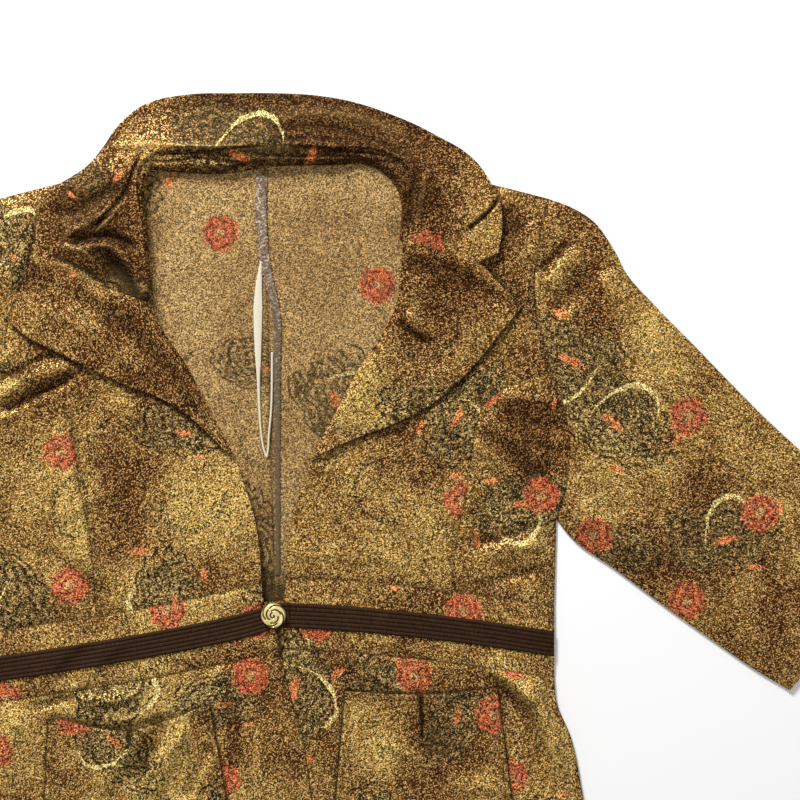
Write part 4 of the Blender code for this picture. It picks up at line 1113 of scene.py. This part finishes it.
def make_skirt(side):
    """Skirt panel, with painted shade around its pocket, in the pocket's mouth and along its border."""
    grid, patch = denser(skirt_grid(side)), pocket_grid(side)[0]
    ring = join(patch[:, -1], patch[-1, ::-1], patch[::-1, 0], patch[0])
    around = RIM_SHADE * bell(line_distance(grid, ring[::6]), PATCH_REACH)
    mouth = MOUTH_SHADOW * bell(line_distance(grid, patch[4:-4:4, -1]), MOUTH_REACH)
    lay_upper("skirt", side, grid, "cloth_back_skirt", -4 * side, (8.75 + 3.05 * side, 3.9),
              shade=np.maximum(around, mouth), seams="v1", hems="v0", rim_dark=RIM_SHADE)


def make_pocket(side):
    """Patch pocket: a lifted mouth, a tuck in its middle and a soft fold beside it; painted shade in the
    tuck, along the folds and at its border.
    """
    row = POCKET[side]
    patch, across, upward = pocket_grid(side)
    mouth = row.lift * np.sin(np.pi * across) ** 1.5 * ease((upward - 0.6) / 0.4)
    off = (across - 0.5) * np.linalg.norm(patch[-1, 0] - patch[0, 0])
    deep = ease((upward - row.tuck_from) / 0.05)
    wedge = 0.7 + 2.4 * ease((upward - 0.70) / 0.30)
    sides = TUCK_SIDE * bell(np.abs(off) - TUCK_SIDE_AT, TUCK_SIDE_REACH)
    tuck = deep * (sides - TUCK_DEEP * bell(off, wedge))
    tuck = tuck + TUCK_FOLD * ease((upward - 0.55) / 0.2) * bell(off - TUCK_FOLD_AT, TUCK_FOLD_REACH)
    floor = upper_floor(patch, side) + CLOTH + LAY + np.maximum(mouth + tuck, -0.2)
    dark = np.maximum(deep * np.exp(-(off / wedge) ** 4), crease_fields(patch, "pocket")[1])
    piece = shell(name_of("patch_pocket", side), patch, floor, CLOTH, KNIT,
                  cloth_space(patch, 8 * side, (2.9 - side, 9.9)), dye_tone_and_shading(patch, "front"),
                  hems="u0 u1 v0 v1", crease=dark, rim_dark=RIM_SHADE)
    register(piece, name_of("pocket", side))


def lapel_grid(side):
    """Grid of a lapel from its roll to its free edge, and up to the gorge."""
    row = LAPEL[side]
    edge = spline(FRONT_EDGE, 240)
    ys = np.linspace(LAPEL_FOOT, row.gorge_y, 30)
    roll = spline(np.stack([np.interp(ys, edge[:, 1], edge[:, 0]), ys], axis=1), LAPEL_ROWS)
    lower = spline(row.lower, LAPEL_ROWS)
    notch = Point(row.notch.x, row.notch.y - 2 * SEAM)
    inner = spline([roll[-1], notch], LAPEL_COLUMNS - 2 * LAPEL_FINE)
    gorge = join(inner, spline([notch, row.tip], 2 * LAPEL_FINE))
    return denser(mirror(coons(spline([roll[0], lower[0]], LAPEL_COLUMNS), gorge, roll, lower), side))


def make_lapel(side):
    """Turned lapel: rolled along the front edge, curled at its free edge, with painted shade along its
    creases. Gives its grid and underside.
    """
    grid = lapel_grid(side)
    runs = edge_runs(grid)
    away = np.linalg.norm(grid - grid[:1], axis=2)
    grow = ease(np.linspace(0, 1, grid.shape[1])[None, :] / 0.4)
    bulge = LAPEL_ROLL * grow * ease(away / LAPEL_ROLL_RISE) * (1 - ease(away / LAPEL_ROLL_REACH))
    free = ease((LAPEL_CURL_REACH - np.minimum(runs["u1"], runs["v1"])) / LAPEL_CURL_REACH)
    curl = LAPEL_CURL * free * (1 + 0.4 * np.sin(grid[..., 0] * 0.06 + grid[..., 1] * 0.09))
    relief, dark = crease_fields(grid, "lapel")
    rest = np.maximum(upper_floor(grid, side), upper_floor(grid, side, creased=False)) + CLOTH + LAY
    border = np.minimum(np.minimum(runs["u0"], runs["u1"]), runs["v1"])
    room = LAPEL_ROOM * grow * ease(border / LAPEL_ROOM_REACH)
    floor = rest + np.maximum(bulge + curl + room + relief * grow, 0.0)
    piece = shell(name_of("cloth_lapel", side), grid, floor, CLOTH, KNIT,
                  cloth_space(grid, 38 * side, (3.3 * side, 11.2), flip=-1),
                  dye_tone_and_shading(grid, "lapel"), crease=dark)
    register(piece, name_of("lapel", side))
    return grid, floor


def laid_height(grid, under, height):
    """Height of another piece at the nearest of its points."""
    places, values = under.reshape(-1, 2), height.ravel()
    return np.stack([values[((row[:, None] - places[None]) ** 2).sum(-1).argmin(1)] for row in grid])


def shoulder_side(grid):
    """How far each point lies below the shoulder line."""
    line = np.array([(0.0, NECK_Y + SHOULDER_PEAK), *spline(SHOULDER, 4)[1:]])
    return np.interp(abs(grid[..., 0]), line[:, 0], line[:, 1]) - grid[..., 1]


def collar_form():
    """Grid and underside of the collar: stand, roll and fall."""
    ends = []
    for side, start, tip in ((RIGHT, ROLL_LINE[0], COLLAR_EDGE[0]), (LEFT, ROLL_LINE[-1], COLLAR_EDGE[-1])):
        notch = mirror(LAPEL[side].notch, side) + np.array([0, 2 * SEAM])
        inner = spline([start, notch], COLLAR_COLUMNS - 2 * COLLAR_FINE)
        ends.append(join(inner, spline([notch, tip], 2 * COLLAR_FINE)))
    stand, roll, edge = (spline(line, COLLAR_STEPS) for line in (STAND_LINE, ROLL_LINE, COLLAR_EDGE))
    up = np.linspace(0, 1, STAND_ROWS + 1)[:-1, None]
    rise = up[..., None]
    grid = np.concatenate([stand[None] * (1 - rise) + roll[None] * rise, fan(roll, edge, *ends)])
    below = ease((shoulder_side(grid[STAND_ROWS:]) + SHOULDER_ABOVE) / SHOULDER_RUN)
    rest = (BACK + SEAM + LOFT + CLOTH + COLLAR_SLACK) * below
    behind = ease((roll[:, 1] - ROLL_BACK_Y) / ROLL_BACK_RUN)[None]
    high = COLLAR_ROLL_FRONT + (COLLAR_ROLL_BACK - COLLAR_ROLL_FRONT) * behind
    reach = np.linspace(0, 1, COLLAR_COLUMNS + 1)[:, None]
    fall = rest + high * np.cos(np.pi / 2 * reach) ** 1.4
    climb = 0.6 * ease(up / 0.35) + 0.15 * up + 0.25 * ease((up - 0.8) / 0.2)
    return grid, np.concatenate([BACK + LAY + (fall[:1] - BACK - LAY) * climb, fall])


def make_collar(lapels):
    """Turned collar; its ends come down on the lapels and meet them at the gorge. Painted shade and painted
    highlight along its creases.
    """
    grid, floor = collar_form()
    us, vs = refined(grid.shape[0] - 1), refined(grid.shape[1] - 1)
    grid, floor = resample(grid, us, vs), resample(floor, us, vs)
    relief, dark = crease_fields(grid, "collar")
    runs = edge_runs(grid)
    floor = floor + relief * ease(runs["u1"] / COLLAR_EDGE_REACH)
    floor = floor + COLLAR_LIFT * ease((COLLAR_LIFT_REACH - runs["u1"]) / COLLAR_LIFT_REACH)
    outward = ease((us / STAND_ROWS - 0.5) / 0.4)[:, None]
    for side, edge, part in ((RIGHT, "v0", slice(0, END_COLUMNS)), (LEFT, "v1", slice(-END_COLUMNS, None))):
        level = laid_height(grid[:, part], *lapels[side]) + GORGE_LAY
        near = (outward * ease((GORGE_REACH - runs[edge]) / GORGE_REACH))[:, part]
        floor[:, part] = floor[:, part] * (1 - near) + level * near
    for end, inner_row in ((0, 2), (-1, -3)):
        reach = grid[:, end] - grid[:, inner_row]
        grid[:, end] += GORGE_LAP * outward * reach / np.linalg.norm(reach, axis=1)[:, None]
    floor = np.maximum(floor, BACK + LAY)
    piece = shell("cloth_collar", grid, floor, CLOTH, KNIT, cloth_space(grid, 20, (21.76, 7.12)),
                  dye_tone_and_shading(grid, "collar"), crease=dark)
    register(piece, "collar")


def make_sleeve(side):
    """Top half on the loft and plain under half on the floor."""
    arm = join(spline(UNDERARM[::-1], UNDERARM_ROWS), spline(ARMHOLE[::-1], ARM_ROWS))
    over, under = spline(SLEEVE_OVER, SLEEVE_COLUMNS), spline(SLEEVE_UNDER, SLEEVE_COLUMNS)
    grid = mirror(coons(under, over, arm, spline([under[-1], over[-1]], len(arm) - 1)), side)
    low = resample(grid, *(np.linspace(0, n - 1, count) for n, count in zip(grid.shape, UNDER_SLEEVE_POINTS)))
    turn, shift, cut_turn = 43 * side, (5.2 + 3 * side, 6.6), 40 * side
    below = name_of("under_sleeve", side)
    lay_upper("top_sleeve", side, denser(grid), "cloth_" + below, turn, shift, cut_turn=cut_turn, seams="u0",
              hems="u1")
    lay_under(below, low, turn, shift, cut_turn, seams="u0")


def petal_gap(x, y):
    """Distance from the curved grooves between the petals, on a button of radius one."""
    gap = np.ones(x.shape)
    sweep = np.linspace(0, 1, 14)
    for row in PETALS:
        out = row.outer + (row.inner - row.outer) * sweep ** 1.4
        for start in np.linspace(0, 2 * np.pi, row.count, endpoint=False) + row.turn:
            angle = start + row.sweep * sweep
            groove = np.stack([out * np.cos(angle), out * np.sin(angle)], axis=1)
            gap = np.minimum(gap, line_distance(np.dstack([x, y]), groove))
    return gap


def button_faces():
    """Rings of quads, a wall down to the base, and a cap at each end."""
    at = np.arange(BUTTON_RINGS * BUTTON_SPOKES).reshape(BUTTON_RINGS, BUTTON_SPOKES)
    ahead = np.roll(at, -1, axis=1)
    under = at.size + np.arange(BUTTON_SPOKES)
    under_ahead = np.roll(under, -1)
    crown, heel = under[-1] + 1, under[-1] + 2
    faces = np.stack([at[:-1], at[1:], ahead[1:], ahead[:-1]], axis=-1).reshape(-1, 4).tolist()
    faces += np.stack([at[-1], under, under_ahead, ahead[-1]], axis=-1).tolist()
    faces += [(int(crown), int(a), int(b)) for a, b in zip(at[0], ahead[0])]
    return faces + [(int(heel), int(b), int(a)) for a, b in zip(under, under_ahead)]


def make_button():
    """Rose button: rings of petals parted by curved grooves."""
    radius = np.linspace(0.02, 1.0, BUTTON_RINGS)[:, None]
    turn = np.linspace(0, 2 * np.pi, BUTTON_SPOKES, endpoint=False)[None, :]
    x, y = radius * np.cos(turn), radius * np.sin(turn)
    lip = ease((petal_gap(x, y) - 0.015) / 0.075)
    foot = float(upper_floor(np.array([0.0, WAIST_Y]), RIGHT)) + CLOTH + LAY + TRIM + RIB_HIGH + 0.2
    dome = 0.35 + 0.45 * np.sqrt(np.clip(1 - 0.8 * radius**2, 0, 1))
    top = foot + BUTTON_HIGH * dome * ease((1.02 - radius) / 0.12) + 1.5 * lip * ease((1.0 - radius) / 0.08)
    wide, heel = BUTTON_WIDE / 2, BUTTON_WIDE / 2 * 0.96
    outer = np.dstack([x * wide, y * wide + WAIST_Y, np.maximum(top, foot + 0.3)]).reshape(-1, 3)
    base = np.stack([x[-1] * heel, y[-1] * heel + WAIST_Y, np.full(BUTTON_SPOKES, foot)], axis=1)
    verts = np.concatenate([outer, base, [(0, WAIST_Y, top[0].max()), (0, WAIST_Y, foot)]])
    # Tone of the gilt: darker in the grooves between the petals.
    petal_tone = np.concatenate([lip.ravel(), np.full(BUTTON_SPOKES + 2, 0.4)])
    piece = add_piece("gilt_rose", verts, button_faces(), verts[:, :2] / MM_PER_DM, {"tone": petal_tone}, GILT)
    register(piece, "rose_button")


def make_floor():
    corners = [(x * FLOOR_HALF, y * FLOOR_HALF, 0) for x, y in ((-1, -1), (1, -1), (1, 1), (-1, 1))]
    mesh = bpy.data.meshes.new("floor")
    mesh.from_pydata(corners, [], [(0, 1, 2, 3)])
    g = Graph("floor_white")
    g.surface({"Base Color": FLOOR_WHITE, "Roughness": 0.9})
    mesh.materials.append(g.material)
    add_object("floor", mesh)


def make_lights():
    world = bpy.data.worlds.new("studio")
    bpy.context.scene.world = world
    world.use_nodes = True
    sky = world.node_tree.nodes["Background"]
    sky.inputs[0].default_value = (1.0, 1.0, 1.0, 1.0)
    sky.inputs[1].default_value = SKY_POWER
    for row in LAMPS:
        lamp = bpy.data.lights.new(row.name, "AREA")
        lamp.shape = "DISK"
        lamp.size = row.size
        lamp.energy = row.power
        light = add_object(row.name, lamp)
        light.location = row.place
        light.rotation_euler = (LIT_POINT - Vector(row.place)).to_track_quat("-Z", "Y").to_euler()


def make_camera():
    lens = bpy.data.cameras.new("camera")
    lens.lens = LENS
    lens.sensor_width = SENSOR
    lens.clip_end = VIEW_END
    camera = add_object("camera", lens)
    camera.location = CAMERA_PLACE
    bpy.context.scene.camera = camera
    bpy.context.scene.view_settings.view_transform = "Standard"


make_floor()
make_lights()
make_camera()
for side in (LEFT, RIGHT):
    make_back(side)
make_back_band()
make_back_skirt()
make_allowance()
make_loop()
lapels = {}
for side in (LEFT, RIGHT):
    for make in (make_sleeve, make_front, make_side_front, make_band, make_ribbon, make_skirt, make_pocket):
        make(side)
    lapels[side] = make_lapel(side)
make_collar(lapels)
make_button()
